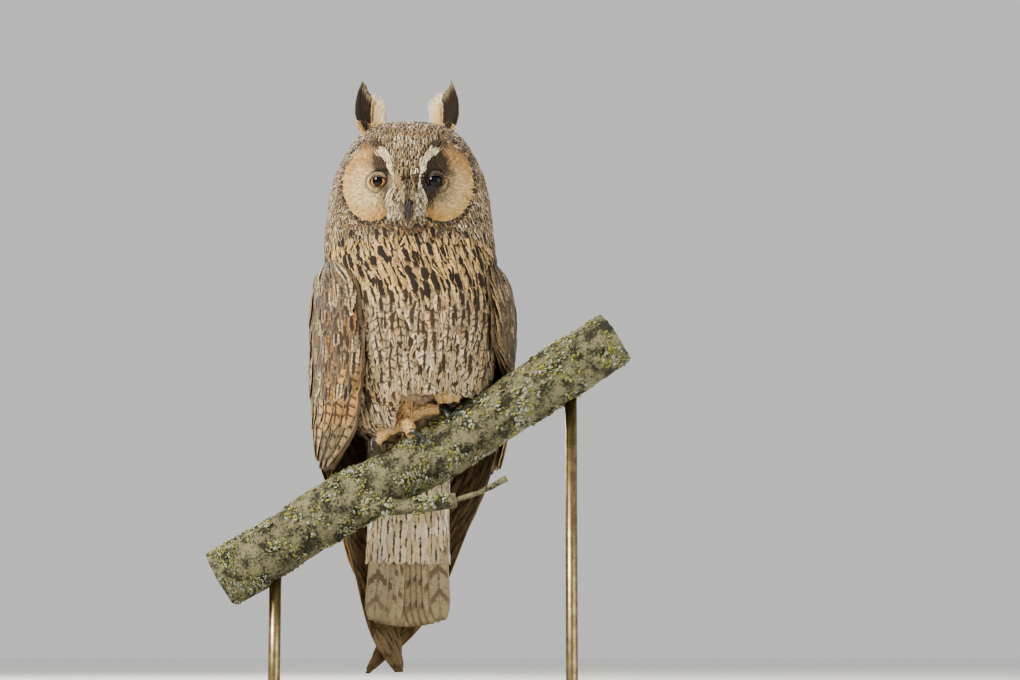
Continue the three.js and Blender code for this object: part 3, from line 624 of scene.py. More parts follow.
class Net:
    """A short way of writing shader nodes."""

    def __init__(self, tree: bpy.types.NodeTree) -> None:
        """Keeps the tree."""
        self.tree = tree

    def node(self, kind: str, settings: dict | None = None, **inputs: object) -> bpy.types.Node:
        """Adds a node, sets its options and feeds its inputs."""
        made = self.tree.nodes.new(kind)
        for name, value in (settings or {}).items():
            setattr(made, name, value)
        self.fill(made, **inputs)
        return made

    def fill(self, node: bpy.types.Node, **inputs: object) -> None:
        """Feeds a node's inputs, where an underscore stands for a space."""
        for name, value in inputs.items():
            self.feed(node.inputs[name.replace("_", " ")], value)

    def feed(self, socket: Socket, value: object) -> None:
        """Links or sets one input."""
        if isinstance(value, Socket):
            self.tree.links.new(value, socket)
        elif isinstance(value, (tuple, list, np.ndarray)):
            values = [float(v) for v in value]
            if len(values) == 3 and len(socket.default_value) == 4:
                values.append(1.0)
            socket.default_value = values
        else:
            socket.default_value = value

    def math(self, operation: str, a: object, b: object = 0.0, c: object = 0.0) -> Socket:
        """One sum."""
        made = self.node("ShaderNodeMath", {"operation": operation})
        for socket, value in zip(made.inputs, (a, b, c)):
            self.feed(socket, value)
        return made.outputs[0]

    def step(
        self, value: object, low: object, high: object, start: float = 0.0, end: float = 1.0
    ) -> Socket:
        """A smooth step of a value."""
        ends = {"From_Min": low, "From_Max": high, "To_Min": start, "To_Max": end}
        smoothed = {"interpolation_type": "SMOOTHSTEP"}
        return self.node("ShaderNodeMapRange", smoothed, Value=value, **ends).outputs["Result"]

    def blend(self, share: object, a: object, b: object, mode: str = "MIX") -> Socket:
        """A mix of two colours."""
        made = self.node("ShaderNodeMix", {"data_type": "RGBA", "blend_type": mode})
        self.feed(made.inputs[0], share)
        self.feed(made.inputs[6], a)
        self.feed(made.inputs[7], b)
        return made.outputs[2]

    def noise(self, vector: object, scale: object, detail: float = 3.0, rough: float = 0.55) -> object:
        """Cloudy noise from 0 to 1."""
        made = self.node("ShaderNodeTexNoise", Vector=vector, Scale=scale, Detail=detail, Roughness=rough)
        return made.outputs["Fac"]

    def bump(self, height: object, strength: float, distance: float) -> Socket:
        """A normal tilted by a height, over a distance in metres."""
        made = self.node("ShaderNodeBump", Strength=strength, Distance=distance, Height=height)
        return made.outputs["Normal"]

    def place(self) -> Socket:
        """The piece's own coordinates, in metres."""
        return self.node("ShaderNodeTexCoord").outputs["Object"]

    def read(self, attribute: str) -> object:
        """The outputs of one of the mesh's own attributes."""
        return self.node("ShaderNodeAttribute", {"attribute_name": attribute}).outputs


def new_group(name: str, inputs: dict, outputs: dict) -> tuple:
    """A shader node group with named sockets.

    Args:
        name: the group's name.
        inputs: socket type by name.
        outputs: socket type by name.

    Returns:
        The group, its net, its input node and its output node.
    """
    tree = bpy.data.node_groups.new(name, "ShaderNodeTree")
    for way, sockets in (("INPUT", inputs), ("OUTPUT", outputs)):
        for label, kind in sockets.items():
            tree.interface.new_socket(name=label, in_out=way, socket_type=f"NodeSocket{kind}")
    net = Net(tree)
    return tree, net, tree.nodes.new("NodeGroupInput"), tree.nodes.new("NodeGroupOutput")


def vane_group() -> bpy.types.NodeTree:
    """Shaft streak, cross bars, pale edge, barbs and a darker root, partly painted shade, on one feather's
    own map.
    """
    known = bpy.data.node_groups.get("feather marks")
    if known:
        return known
    kinds = {"Vane": "Vector", "Place": "Vector", "Ground": "Color", "Mark": "Color"}
    kinds.update(dict.fromkeys(("Streak", "Bars", "Edge", "Luck", "Bar Count"), "Float"))
    tree, net, given, result = new_group("feather marks", kinds, {"Color": "Color", "Height": "Float"})
    read = given.outputs
    parts = net.node("ShaderNodeSeparateXYZ", Vector=read["Vane"]).outputs
    across = net.math("ABSOLUTE", net.math("MULTIPLY_ADD", parts["X"], 2.0, -1.0))
    along = parts["Y"]
    rough = net.noise(read["Place"], 420.0)
    wobble = net.math("MULTIPLY_ADD", rough, 0.5, -0.25)
    reach = net.math("MULTIPLY", read["Streak"], net.math("MULTIPLY_ADD", along, 0.75, 0.4))
    near, beyond = net.math("ADD", reach, -0.1), net.math("ADD", reach, 0.12)
    streak = net.step(net.math("ADD", across, wobble), near, beyond, 1.0, 0.0)
    streak = net.math("MULTIPLY", streak, net.step(read["Streak"], 0.0, 0.08))
    phase = net.math("MULTIPLY", along, read["Bar Count"])
    phase = net.math("ADD", phase, net.math("MULTIPLY", across, -0.45))
    phase = net.math("ADD", phase, net.math("ADD", read["Luck"], net.math("MULTIPLY", wobble, 0.8)))
    wave = net.math("SINE", net.math("MULTIPLY", phase, TAU))
    bars = net.math("MULTIPLY", net.step(wave, 0.45, 0.8), read["Bars"])
    bars = net.math("MULTIPLY", bars, net.step(across, 1.0, 0.78))
    mottle = net.step(net.noise(read["Place"], 620.0), 0.54, 0.62)
    mottle = net.math("MULTIPLY", net.math("MULTIPLY", mottle, read["Bars"]), 0.6)
    mask = net.math("MAXIMUM", net.math("MAXIMUM", streak, bars), mottle)
    colour = net.blend(mask, read["Ground"], read["Mark"])
    pale = net.blend(0.45, read["Ground"], tuple(CREAM))
    edge = net.math("MULTIPLY", net.step(net.math("MAXIMUM", across, along), 0.82, 1.0), read["Edge"])
    colour = net.blend(edge, colour, pale)
    slant = net.math("MULTIPLY_ADD", across, -7.0, net.math("MULTIPLY", along, 26.0))
    barb = net.math("SINE", net.math("MULTIPLY", slant, TAU))
    grain_and_root_shade = net.math("MULTIPLY_ADD", barb, 0.07, 0.93)
    grain_and_root_shade = net.math("MULTIPLY", grain_and_root_shade, net.math("MULTIPLY_ADD", rough, 0.35, 0.82))
    grain_and_root_shade = net.math("MULTIPLY", grain_and_root_shade, net.math("MULTIPLY_ADD", read["Luck"], 0.35, 0.8))
    # Darker towards the root: partly the down's own grey-brown, partly painted shade where the feathers
    # overlap.
    grain_and_root_shade = net.math("MULTIPLY", grain_and_root_shade, net.step(along, 0.05, 0.7, 0.5, 1.0))
    spread = net.node("ShaderNodeCombineXYZ", X=grain_and_root_shade, Y=grain_and_root_shade, Z=grain_and_root_shade).outputs[0]
    colour = net.blend(1.0, colour, spread, "MULTIPLY")
    ridge = net.step(across, 0.0, 0.1, 1.0, 0.0)
    net.fill(result, Color=colour, Height=net.math("MULTIPLY_ADD", barb, 0.3, ridge))
    return tree


def speckle_group() -> bpy.types.NodeTree:
    """Two sizes of uneven speckle between two colours."""
    known = bpy.data.node_groups.get("speckle")
    if known:
        return known
    kinds = {"Place": "Vector", "Light": "Color", "Deep": "Color", "Scale": "Float", "Share": "Float"}
    tree, net, given, result = new_group("speckle", kinds, {"Color": "Color", "Height": "Float"})
    read = given.outputs
    wide = net.noise(read["Place"], read["Scale"], 5.0, 0.5)
    fine = net.noise(read["Place"], net.math("MULTIPLY", read["Scale"], 6.0), 3.0, 0.5)
    both = net.math("ADD", net.math("MULTIPLY", wide, 0.6), net.math("MULTIPLY", fine, 0.4))
    share = net.math("ADD", both, net.math("MULTIPLY_ADD", read["Share"], 0.6, -0.3))
    mask = net.step(share, 0.4, 0.6)
    net.fill(result, Color=net.blend(mask, read["Light"], read["Deep"]), Height=both)
    return tree


def start_material(name: str) -> tuple:
    """An empty Principled material, its net and its shader."""
    material = bpy.data.materials.new(name)
    material.use_nodes = True
    net = Net(material.node_tree)
    return material, net, material.node_tree.nodes["Principled BSDF"]


@dataclass(frozen=True)
class Finish:
    """A material that is built once; each kind dresses the shader in its own way."""

    name: str

    def material(self) -> bpy.types.Material:
        """The material, built at its first use."""
        known = bpy.data.materials.get(self.name)
        if known:
            return known
        material, net, shader = start_material(self.name)
        self.dress(net, shader)
        return material


@dataclass(frozen=True)
class VaneFinish(Finish):
    """Feathers with their own marks."""

    bar_count: float = 5.0
    roughness: float = 0.72
    bump: float = 0.35

    def dress(self, net: Net, shader: bpy.types.Node) -> None:
        """Feeds the shader from each feather's map, colours and traits."""
        ground = net.read("ground")
        parts = net.node("ShaderNodeSeparateColor", Color=net.read("traits")["Color"]).outputs
        made = net.node(
            "ShaderNodeGroup",
            {"node_tree": vane_group()},
            Vane=net.node("ShaderNodeUVMap", {"uv_map": "Vane"}).outputs["UV"],
            Place=net.place(),
            Ground=ground["Color"],
            Mark=net.read("mark")["Color"],
            Streak=parts["Red"],
            Bars=parts["Green"],
            Edge=parts["Blue"],
            Luck=ground["Alpha"],
            Bar_Count=self.bar_count,
        ).outputs
        net.fill(
            shader,
            Base_Color=made["Color"],
            Normal=net.bump(made["Height"], self.bump, 0.0004),
            Roughness=self.roughness,
            Specular_IOR_Level=0.25,
            Sheen_Weight=0.15,
        )


@dataclass(frozen=True)
class SpeckleFinish(Finish):
    """A surface speckled between two colours, rough or shiny."""

    light: tuple
    deep: tuple
    scale: float = 120.0
    share: float = 0.5
    roughness: float = 0.85
    metallic: float = 0.0
    coat: float = 0.0
    bump: float = 0.4
    depth: float = 0.0006

    def dress(self, net: Net, shader: bpy.types.Node) -> None:
        """Feeds the shader from the speckle."""
        made = net.node(
            "ShaderNodeGroup",
            {"node_tree": speckle_group()},
            Place=net.place(),
            Light=self.light,
            Deep=self.deep,
            Scale=self.scale,
            Share=self.share,
        ).outputs
        net.fill(
            shader,
            Base_Color=made["Color"],
            Normal=net.bump(made["Height"], self.bump, self.depth),
            Roughness=net.math("MULTIPLY_ADD", made["Height"], 0.16, self.roughness - 0.08),
            Metallic=self.metallic,
            Coat_Weight=self.coat,
        )


@dataclass(frozen=True)
class SkinFinish(Finish):
    """The down that shows between feathers, coloured as they are."""

    def dress(self, net: Net, shader: bpy.types.Node) -> None:
        """Feeds the shader with patches of the feathers' two colours."""
        mark = net.read("mark")["Color"]
        patchy = net.step(net.noise(net.place(), 160.0), 0.35, 0.7)
        dim = net.blend(0.35, net.read("ground")["Color"], mark)
        rough = net.bump(net.noise(net.place(), 900.0), 0.5, 0.0006)
        net.fill(shader, Base_Color=net.blend(patchy, dim, mark), Normal=rough, Roughness=0.95)


@dataclass(frozen=True)
class EyeFinish(Finish):
    """A black pupil in an orange iris under a wet clear front."""

    pupil: float
    inner: tuple = (0.95, 0.36, 0.03)
    outer: tuple = (0.60, 0.13, 0.01)

    def dress(self, net: Net, shader: bpy.types.Node) -> None:
        """Feeds the shader by the gaze attribute, the angle from the pupil's centre."""
        gaze = net.read("gaze")["Fac"]
        rays = net.noise(net.place(), 900.0, 2.0)
        iris = net.blend(net.step(gaze, self.pupil, 0.8), self.inner, self.outer)
        iris = net.blend(net.math("MULTIPLY", rays, 0.5), iris, (0.25, 0.07, 0.01))
        ring = net.step(gaze, 0.74, 0.88)
        colour = net.blend(ring, iris, (0.012, 0.008, 0.006))
        edge = net.step(gaze, self.pupil - 0.02, self.pupil + 0.02, 1.0, 0.0)
        net.fill(
            shader,
            Base_Color=net.blend(edge, colour, (0.002, 0.002, 0.002)),
            Roughness=0.08,
            Specular_IOR_Level=0.2,
            Coat_Weight=0.35,
            Coat_Roughness=0.02,
        )


DOWN = SkinFinish("down under the coat")
BODY_VANES = VaneFinish("body feathers", 5.0)
WING_VANES = VaneFinish("wing and tail feathers", 7.0, 0.6, 0.5)
FINE_VANES = VaneFinish("face and leg feathers", 2.0, 0.8, 0.2)
HORN = SpeckleFinish("dark horn", (0.05, 0.047, 0.045), (0.012, 0.011, 0.011), 200, 0.6, 0.32, 0.0, 0.3, 0.15)
CLAW_HORN = SpeckleFinish(
    "claw horn", (0.30, 0.29, 0.27), (0.02, 0.019, 0.018), 160, 0.62, 0.34, 0.0, 0.3, 0.15
)
LID_SKIN = SpeckleFinish("dark lid skin", (0.05, 0.035, 0.028), (0.012, 0.009, 0.008), 600, 0.5, 0.6)
FOOT_SKIN = SpeckleFinish("foot skin", (0.50, 0.30, 0.13), (0.26, 0.14, 0.06), 200)
WING_DOWN = SpeckleFinish("wing down", tuple(UMBER), tuple(BROWN), 140)
BARK = SpeckleFinish(
    "oak bark", (0.22, 0.205, 0.115), (0.03, 0.029, 0.016), 110, 0.5, 0.92, 0.0, 0.0, 1.0, 0.0022
)
END_WOOD = SpeckleFinish("sawn end", (0.42, 0.30, 0.17), (0.22, 0.14, 0.075), 90, 0.4, 0.8)
BASE_WOOD = SpeckleFinish(
    "dark satin wood", (0.060, 0.034, 0.020), (0.018, 0.010, 0.007), 26, 0.5, 0.38, 0.0, 0.3, 0.12
)
BRASS = SpeckleFinish("dull brass", (0.42, 0.33, 0.18), (0.26, 0.19, 0.10), 150, 0.5, 0.34, 1.0, 0.0, 0.06)


def belly_edge(angle: Array) -> Array:
    """The lowest height of the belly's feathers, which part over the feet."""
    turn = np.angle(np.exp(1j * np.asarray(angle)))
    return 182 + 24 * smooth(turn, -0.62, -0.30) * (1 - smooth(turn, 0.95, 1.25))


def closed_skin(
    name: str, form: object, low: float, high: float, inset: Callable, sides: int, rings: int
) -> bpy.types.Mesh:
    """A ball drawn onto a form between two heights and set in under its coat.

    Args:
        name: the mesh's name.
        form: a form with point and patch.
        low: its lowest height.
        high: its greatest height.
        inset: how far under the surface, from angle and height.
        sides: faces round.
        rings: faces up.

    Returns:
        The mesh, with its own baked map and marks for its material.
    """
    bm = bmesh.new()
    bmesh.ops.create_uvsphere(bm, u_segments=sides, v_segments=rings, radius=1)
    flat = np.array([v.co for v in bm.verts])
    angle = np.arctan2(flat[:, 0], -flat[:, 1])
    polar = np.arccos(np.clip(flat[:, 2], -1, 1)) / math.pi
    z = high - (high - low) * polar
    pole = (polar < 1e-4) | (polar > 1 - 1e-4)
    points = form.point(angle, z, -inset(angle, z))
    front, back = np.zeros_like(z), np.full_like(z, math.pi)
    centre = form.point(front, z, -inset(front, z)) + form.point(back, z, -inset(back, z))
    points[pole] = centre[pole] / 2
    set_places(bm, points)
    mesh = mesh_of(name, bm)
    corner = np.zeros(len(mesh.loops), int)
    mesh.loops.foreach_get("vertex_index", corner)
    spots = form.patch(angle, z)[corner]
    totals = np.zeros(len(mesh.polygons), int)
    mesh.polygons.foreach_get("loop_total", totals)
    owner = np.repeat(np.arange(len(totals)), totals)
    most = np.zeros(len(totals))
    np.maximum.at(most, owner, spots[:, 0])
    spots[:, 0] += 0.96 * (most[owner] - spots[:, 0] > 0.5)
    set_map(mesh, "OFBake", np.clip(spots, 0, 1))
    marks = body_marks(angle, z, np.random.default_rng(3))
    for label, values in (("ground", marks.ground), ("mark", marks.mark)):
        set_colours(mesh, label, np.concatenate([values, np.ones((len(values), 1))], 1))
    return mesh


def set_out(
    form: object, low: float, high: float, step: float, gap: float, span: tuple,
    draw: Draw, aligned: int = 0,
) -> tuple:
    """Staggered roots over a form, evenly spaced.

    Args:
        form: a form with scale.
        low: the lowest row's height.
        high: the highest row's height.
        step: between rows.
        gap: between neighbours.
        span: first and last angle or share.
        draw: source of small differences.
        aligned: how many stand in each row, in columns, or 0 for staggered rows.

    Returns:
        The two surface coordinates of each root.
    """
    across, up = [], []
    for i, z in enumerate(np.arange(low, high, step)):
        probe = np.linspace(span[0], span[1], 24)
        width = float(form.scale(probe, np.full(24, z)).mean() * (span[1] - span[0]))
        count = aligned or max(2, int(width / gap))
        stagger = 0.16 * (i % 2) if aligned else 0.5 * (i % 2)
        share = (np.arange(count) + 0.25 + stagger + draw.uniform(-0.15, 0.15, count)) / count
        across.append(span[0] + (span[1] - span[0]) * share)
        up.append(z + draw.uniform(-0.25, 0.25, count) * step)
    return np.concatenate(across), np.concatenate(up)


@dataclass
class FaceForm(FlatForm):
    """The front of the head by distance aside and height."""

    head_x: float = -5.7

    def angle(self, x: Array, z: Array) -> Array:
        """The angle from straight ahead at a distance aside."""
        return np.arcsin(np.clip(x / BODY.rows(z)[..., 0], -0.985, 0.985))

    def lay(
        self, coat: Coat, side: Side, root: tuple, way: tuple, length: Array, *given: object, **shape: float
    ) -> None:
        """Lays feathers aside of the middle, each along its way; the rest is as a coat's lay takes it."""
        aside, z = root
        tip = (side.value * (aside + way[0] * length), z + way[1] * length)
        coat.lay(self, (side.value * aside, z), tip, *given, **shape)

    def point(self, x: Array, z: Array, lift: Array) -> Array:
        """A place on the face, lifted outwards."""
        return BODY.point(self.angle(x, z), z, lift)

    def patch(self, x: Array, z: Array) -> Array:
        """Where a place lies on the unrolled skin."""
        return BODY.patch(self.angle(x, z), z)


FACE = FaceForm()

# Each disc's distance aside, half width, half height and middle height
DISC = (22.0, 20.5, 28.0, 351.0)

# Leaf settings of a loose barb
BARB = {"blunt": 0.3, "base": 0.6, "ragged": 0.2}


def bridge_width(z: Array) -> Array:
    """Half width of the mottled forehead between the brows."""
    rows = [[340, 5.0], [346, 7.0], [352, 8.0], [358, 9.0], [366, 12.5], [374, 19.0], [382, 27.0]]
    return Profile(rows)(z)[..., 0]


@dataclass
class Skin:
    """The trunk, neck and head under the coat."""

    body_depth: float = 3.4
    head_depth: float = 1.6

    def build(self) -> None:
        """Makes the skin and lets it stand for the flesh solids."""

        def inset(angle: Array, z: Array) -> Array:
            """Coat depth, and deeper in the pocket over the feet."""
            pocket = smooth(belly_edge(angle) + 4 - z, 0, 9) * smooth(np.cos(angle), 0.1, 0.5)
            depth = mix(self.body_depth, self.head_depth, smooth(z, 300, 335)) + 13 * pocket
            return np.minimum(depth, BODY.rows(z)[..., 1] - 2)

        mesh = closed_skin("body_skin", BODY, 176, BODY.high - 1, inset, 128, 168)
        piece = add_piece("body_skin", mesh, "coat_feathers", DOWN.material())
        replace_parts(piece, "torso", "neck", "head")


@dataclass
class BodyCoat:
    """The feathers of breast, belly, flanks, back and neck."""

    step: float = 5.0
    front_columns: int = 27
    back_columns: int = 30
    length: float = 27.0
    half: float = 4.3

    def build(self) -> None:
        """Lays front and back as two pieces."""
        for name, slot, span, columns in (
            ("belly_coat", "belly_feathers", (-1.45, 1.45), self.front_columns),
            ("back_coat", "coat_feathers", (1.45, TAU - 1.45), self.back_columns),
        ):
            draw = np.random.default_rng(11 if name == "belly_coat" else 12)
            coat = Coat(name, slot, 2, 7)
            for finer in (False, True):
                angle, z = set_out(BODY, 190, 326, self.step, 5.0, span, draw, columns)
                if finer:
                    angle = angle + (span[1] - span[0]) / columns * 0.5
                edge = belly_edge(angle) * (np.cos(angle) > 0.1) + 178 * (np.cos(angle) <= 0.1)
                keep = (z > edge + 7) & ((z > 262) if finer else (z > 0))
                angle, z, edge = angle[keep], z[keep], edge[keep]
                count = len(z)
                neck = smooth(z, 300, 322)
                length = self.length * (1 - 0.35 * neck) * draw.uniform(0.85, 1.12, count)
                tip = np.maximum(z - length, edge + draw.uniform(-2, 3, count))
                half = self.half * (1 - 0.28 * neck) * draw.uniform(0.85, 1.15, count)
                lean = draw.normal(0, 0.035, count) - 0.06 * np.sin(angle) * (1 - neck)
                rise = mix(0.9, 0.7, neck) + draw.uniform(-0.9, 0.9, count)
                marks = body_marks(np.angle(np.exp(1j * angle)), z - 8, draw)
                coat.lay(
                    BODY, (angle, z), (angle + lean, tip), half, (-3.0, rise), marks, draw,
                    ragged=0.22, curl=0.5, blunt=0.45,
                )
            if name == "belly_coat":
                self.loose_barbs(coat, draw)
            coat.build(BODY_VANES)

    @staticmethod
    def loose_barbs(coat: Coat, draw: Draw) -> None:
        """Fine loose plumes over the breast and along the belly's edge."""
        count = 520
        angle = draw.uniform(-1.3, 1.3, count)
        low = draw.random(count) < 0.25
        z = np.where(low, belly_edge(angle) + draw.uniform(14, 20, count), draw.uniform(215, 322, count))
        length = draw.uniform(8, 15, count)
        marks = body_marks(angle, z, draw)
        marks.streak = marks.streak * 0.6
        marks.bars = marks.bars * 0
        tip = (angle + draw.normal(0, 0.05, count), z - length)
        coat.lay(
            BODY, (angle, z), tip, draw.uniform(0.8, 1.8, count), (-1.0, 1.0 + 0.8 * draw.random(count)),
            marks, draw, blunt=0.25, ragged=0.2,
        )


@dataclass
class CrownForm(FlatForm):
    """The top of the head by millimetres aside of its middle and behind it."""

    low: float = 350.0

    def height(self, a: Array, b: Array) -> Array:
        """How high the head is there."""
        levels = np.linspace(self.low, BODY.high, 300)
        width, front, back = np.moveaxis(BODY.rows(levels), -1, 0)
        depth = np.where(b[..., None] < 0, front, back)
        inside = (a[..., None] / width) ** 2 + (b[..., None] / depth) ** 2 < 1
        return self.low + (BODY.high - self.low) * inside.mean(-1)

    def point(self, a: Array, b: Array, lift: Array) -> Array:
        """A place over the crown."""
        a, b, lift = np.broadcast_arrays(a, b, lift)
        return BODY.frame_point(a, b, self.height(a, b) + lift)

    def patch(self, a: Array, b: Array) -> Array:
        """Where a root lies on the unrolled skin."""
        return BODY.patch(np.arctan2(a, -b), self.height(a, b))


@dataclass
class HeadCoat:
    """The small speckled feathers of crown, nape and cheeks."""

    step: float = 2.7
    gap: float = 2.7
    disc: tuple = DISC

    def in_disc(self, x: Array, z: Array, grow: float) -> Array:
        """Whether a place of the face lies in a disc."""
        offset, wide, tall, middle = self.disc
        return ((np.abs(x) - offset) / (wide + grow)) ** 2 + ((z - middle) / (tall + grow)) ** 2 < 1

    def build(self) -> None:
        """Lays the head's coat round the discs."""
        draw = np.random.default_rng(21)
        angle, z = set_out(BODY, 317, 388, self.step, self.gap, (-math.pi, math.pi), draw)
        place = BODY.raw(angle, z, 0 * z)
        x = place[:, 0] - FACE.head_x
        ahead = np.cos(angle) > 0
        bridge = (np.abs(x) < bridge_width(z)) & (z > 345)
        bare = self.in_disc(x, z, -0.5) & ~bridge
        bare |= (np.abs(x) < 9) & (z < 344) & (z > 328)
        bare |= (np.abs(x) < 4) & (z < 347) & (z > 328)
        keep = ~(ahead & bare)
        angle, z, x, ahead = angle[keep], z[keep], x[keep], ahead[keep]
        length = draw.uniform(6.5, 9.5, len(z))
        wedge = ahead & bridge[keep] & (z < 380)
        top = smooth(z, 372, 388)
        half_head = np.maximum(BODY.rows(z)[:, 0], 12)
        outward = x / (np.abs(x) + 6) * (0.35 + 0.4 * top * np.cos(angle)) / half_head
        tip_angle = angle + np.where(wedge, 0.15, 1.0) * outward * length * 0.6
        rising = wedge | (ahead & (z > 372) & (np.abs(x) < 22))
        tip_z = z + np.where(rising, 0.9, -0.85) * length * (1 - 0.55 * top)
        tip_z = np.minimum(tip_z, 394.2)
        marks = self.speckled(angle, z, x, wedge, draw)
        coat = Coat("head_coat", "face_feathers", 2, 4, 0.3)
        half = draw.uniform(1.7, 2.5, len(z)) * np.where(wedge, 0.75, 1.0)
        coat.lay(
            BODY, (angle, z), (tip_angle, tip_z), half, (-1.6, 0.7 + 0.7 * draw.random(len(z))), marks, draw,
            cup=0.35, ragged=0.2,
        )
        self.crown(coat, draw)
        coat.build(BODY_VANES)

    def speckled(self, angle: Array, z: Array, x: Array, wedge: Array, draw: Draw) -> Marks:
        """The head's mottled colours, with the dark chin and the dark arches over the discs."""
        ahead = np.cos(angle) > 0
        marks = body_marks(angle, z + 6, draw)
        speck = draw.random(len(z))
        pale = mix(WHITE, CREAM, draw.random(len(z)) * 0.7)
        marks.ground = mix(mix(GREY, BROWN, draw.random(len(z))), pale, np.where(speck > 0.5, 0.9, 0.1))
        marks.ground = mix(marks.ground, BUFF, 0.4 * draw.random(len(z)))
        arch = ahead * np.exp(-(((z - 380) / 4.5) ** 2) - ((np.abs(x) - 17) / 9) ** 2)
        marks.ground = mix(marks.ground, mix(BROWN, BUFF, 0.4 * draw.random(len(z))), 0.85 * arch)
        chin = ahead * np.exp(-(((z - 320 - 0.1 * np.abs(x)) / 6) ** 2)) * (1 - smooth(np.abs(x), 24, 36))
        sooty = mix(DARK, BROWN, draw.random(len(z)))
        marks.ground = mix(marks.ground, sooty, np.clip(1.1 * chin, 0, 1) * draw.uniform(0.6, 1, len(z)))
        marks.mark = mix(BROWN, DARK, draw.random(len(z)))
        marks.streak = np.where(speck > 0.75, 0.62, 0.32) * np.where(wedge, 1.1, 1.0)
        marks.bars = draw.uniform(0.2, 0.8, len(z))
        return marks

    def crown(self, coat: Coat, draw: Draw) -> None:
        """Lays the feathers of the head's top, from the forehead back."""
        form = CrownForm()
        a, b = np.meshgrid(np.arange(-37, 37, self.step), np.arange(-35, 35, self.step))
        a = a.ravel() + draw.normal(0, 0.6, a.size)
        b = b.ravel() + draw.normal(0, 0.6, b.size)
        z = form.height(a, b)
        a, b, z = a[z > 384], b[z > 384], z[z > 384]
        angle = np.arctan2(a, -b)
        marks = self.speckled(angle, z, a, b < -12, draw)
        length = draw.uniform(7, 10, len(z))
        coat.lay(
            form, (a, b), (a * (1 + 0.012 * length), b + length), draw.uniform(1.7, 2.5, len(z)),
            (-1.4, 0.5 + 0.7 * draw.random(len(z))), marks, draw, cup=0.35, ragged=0.2,
        )


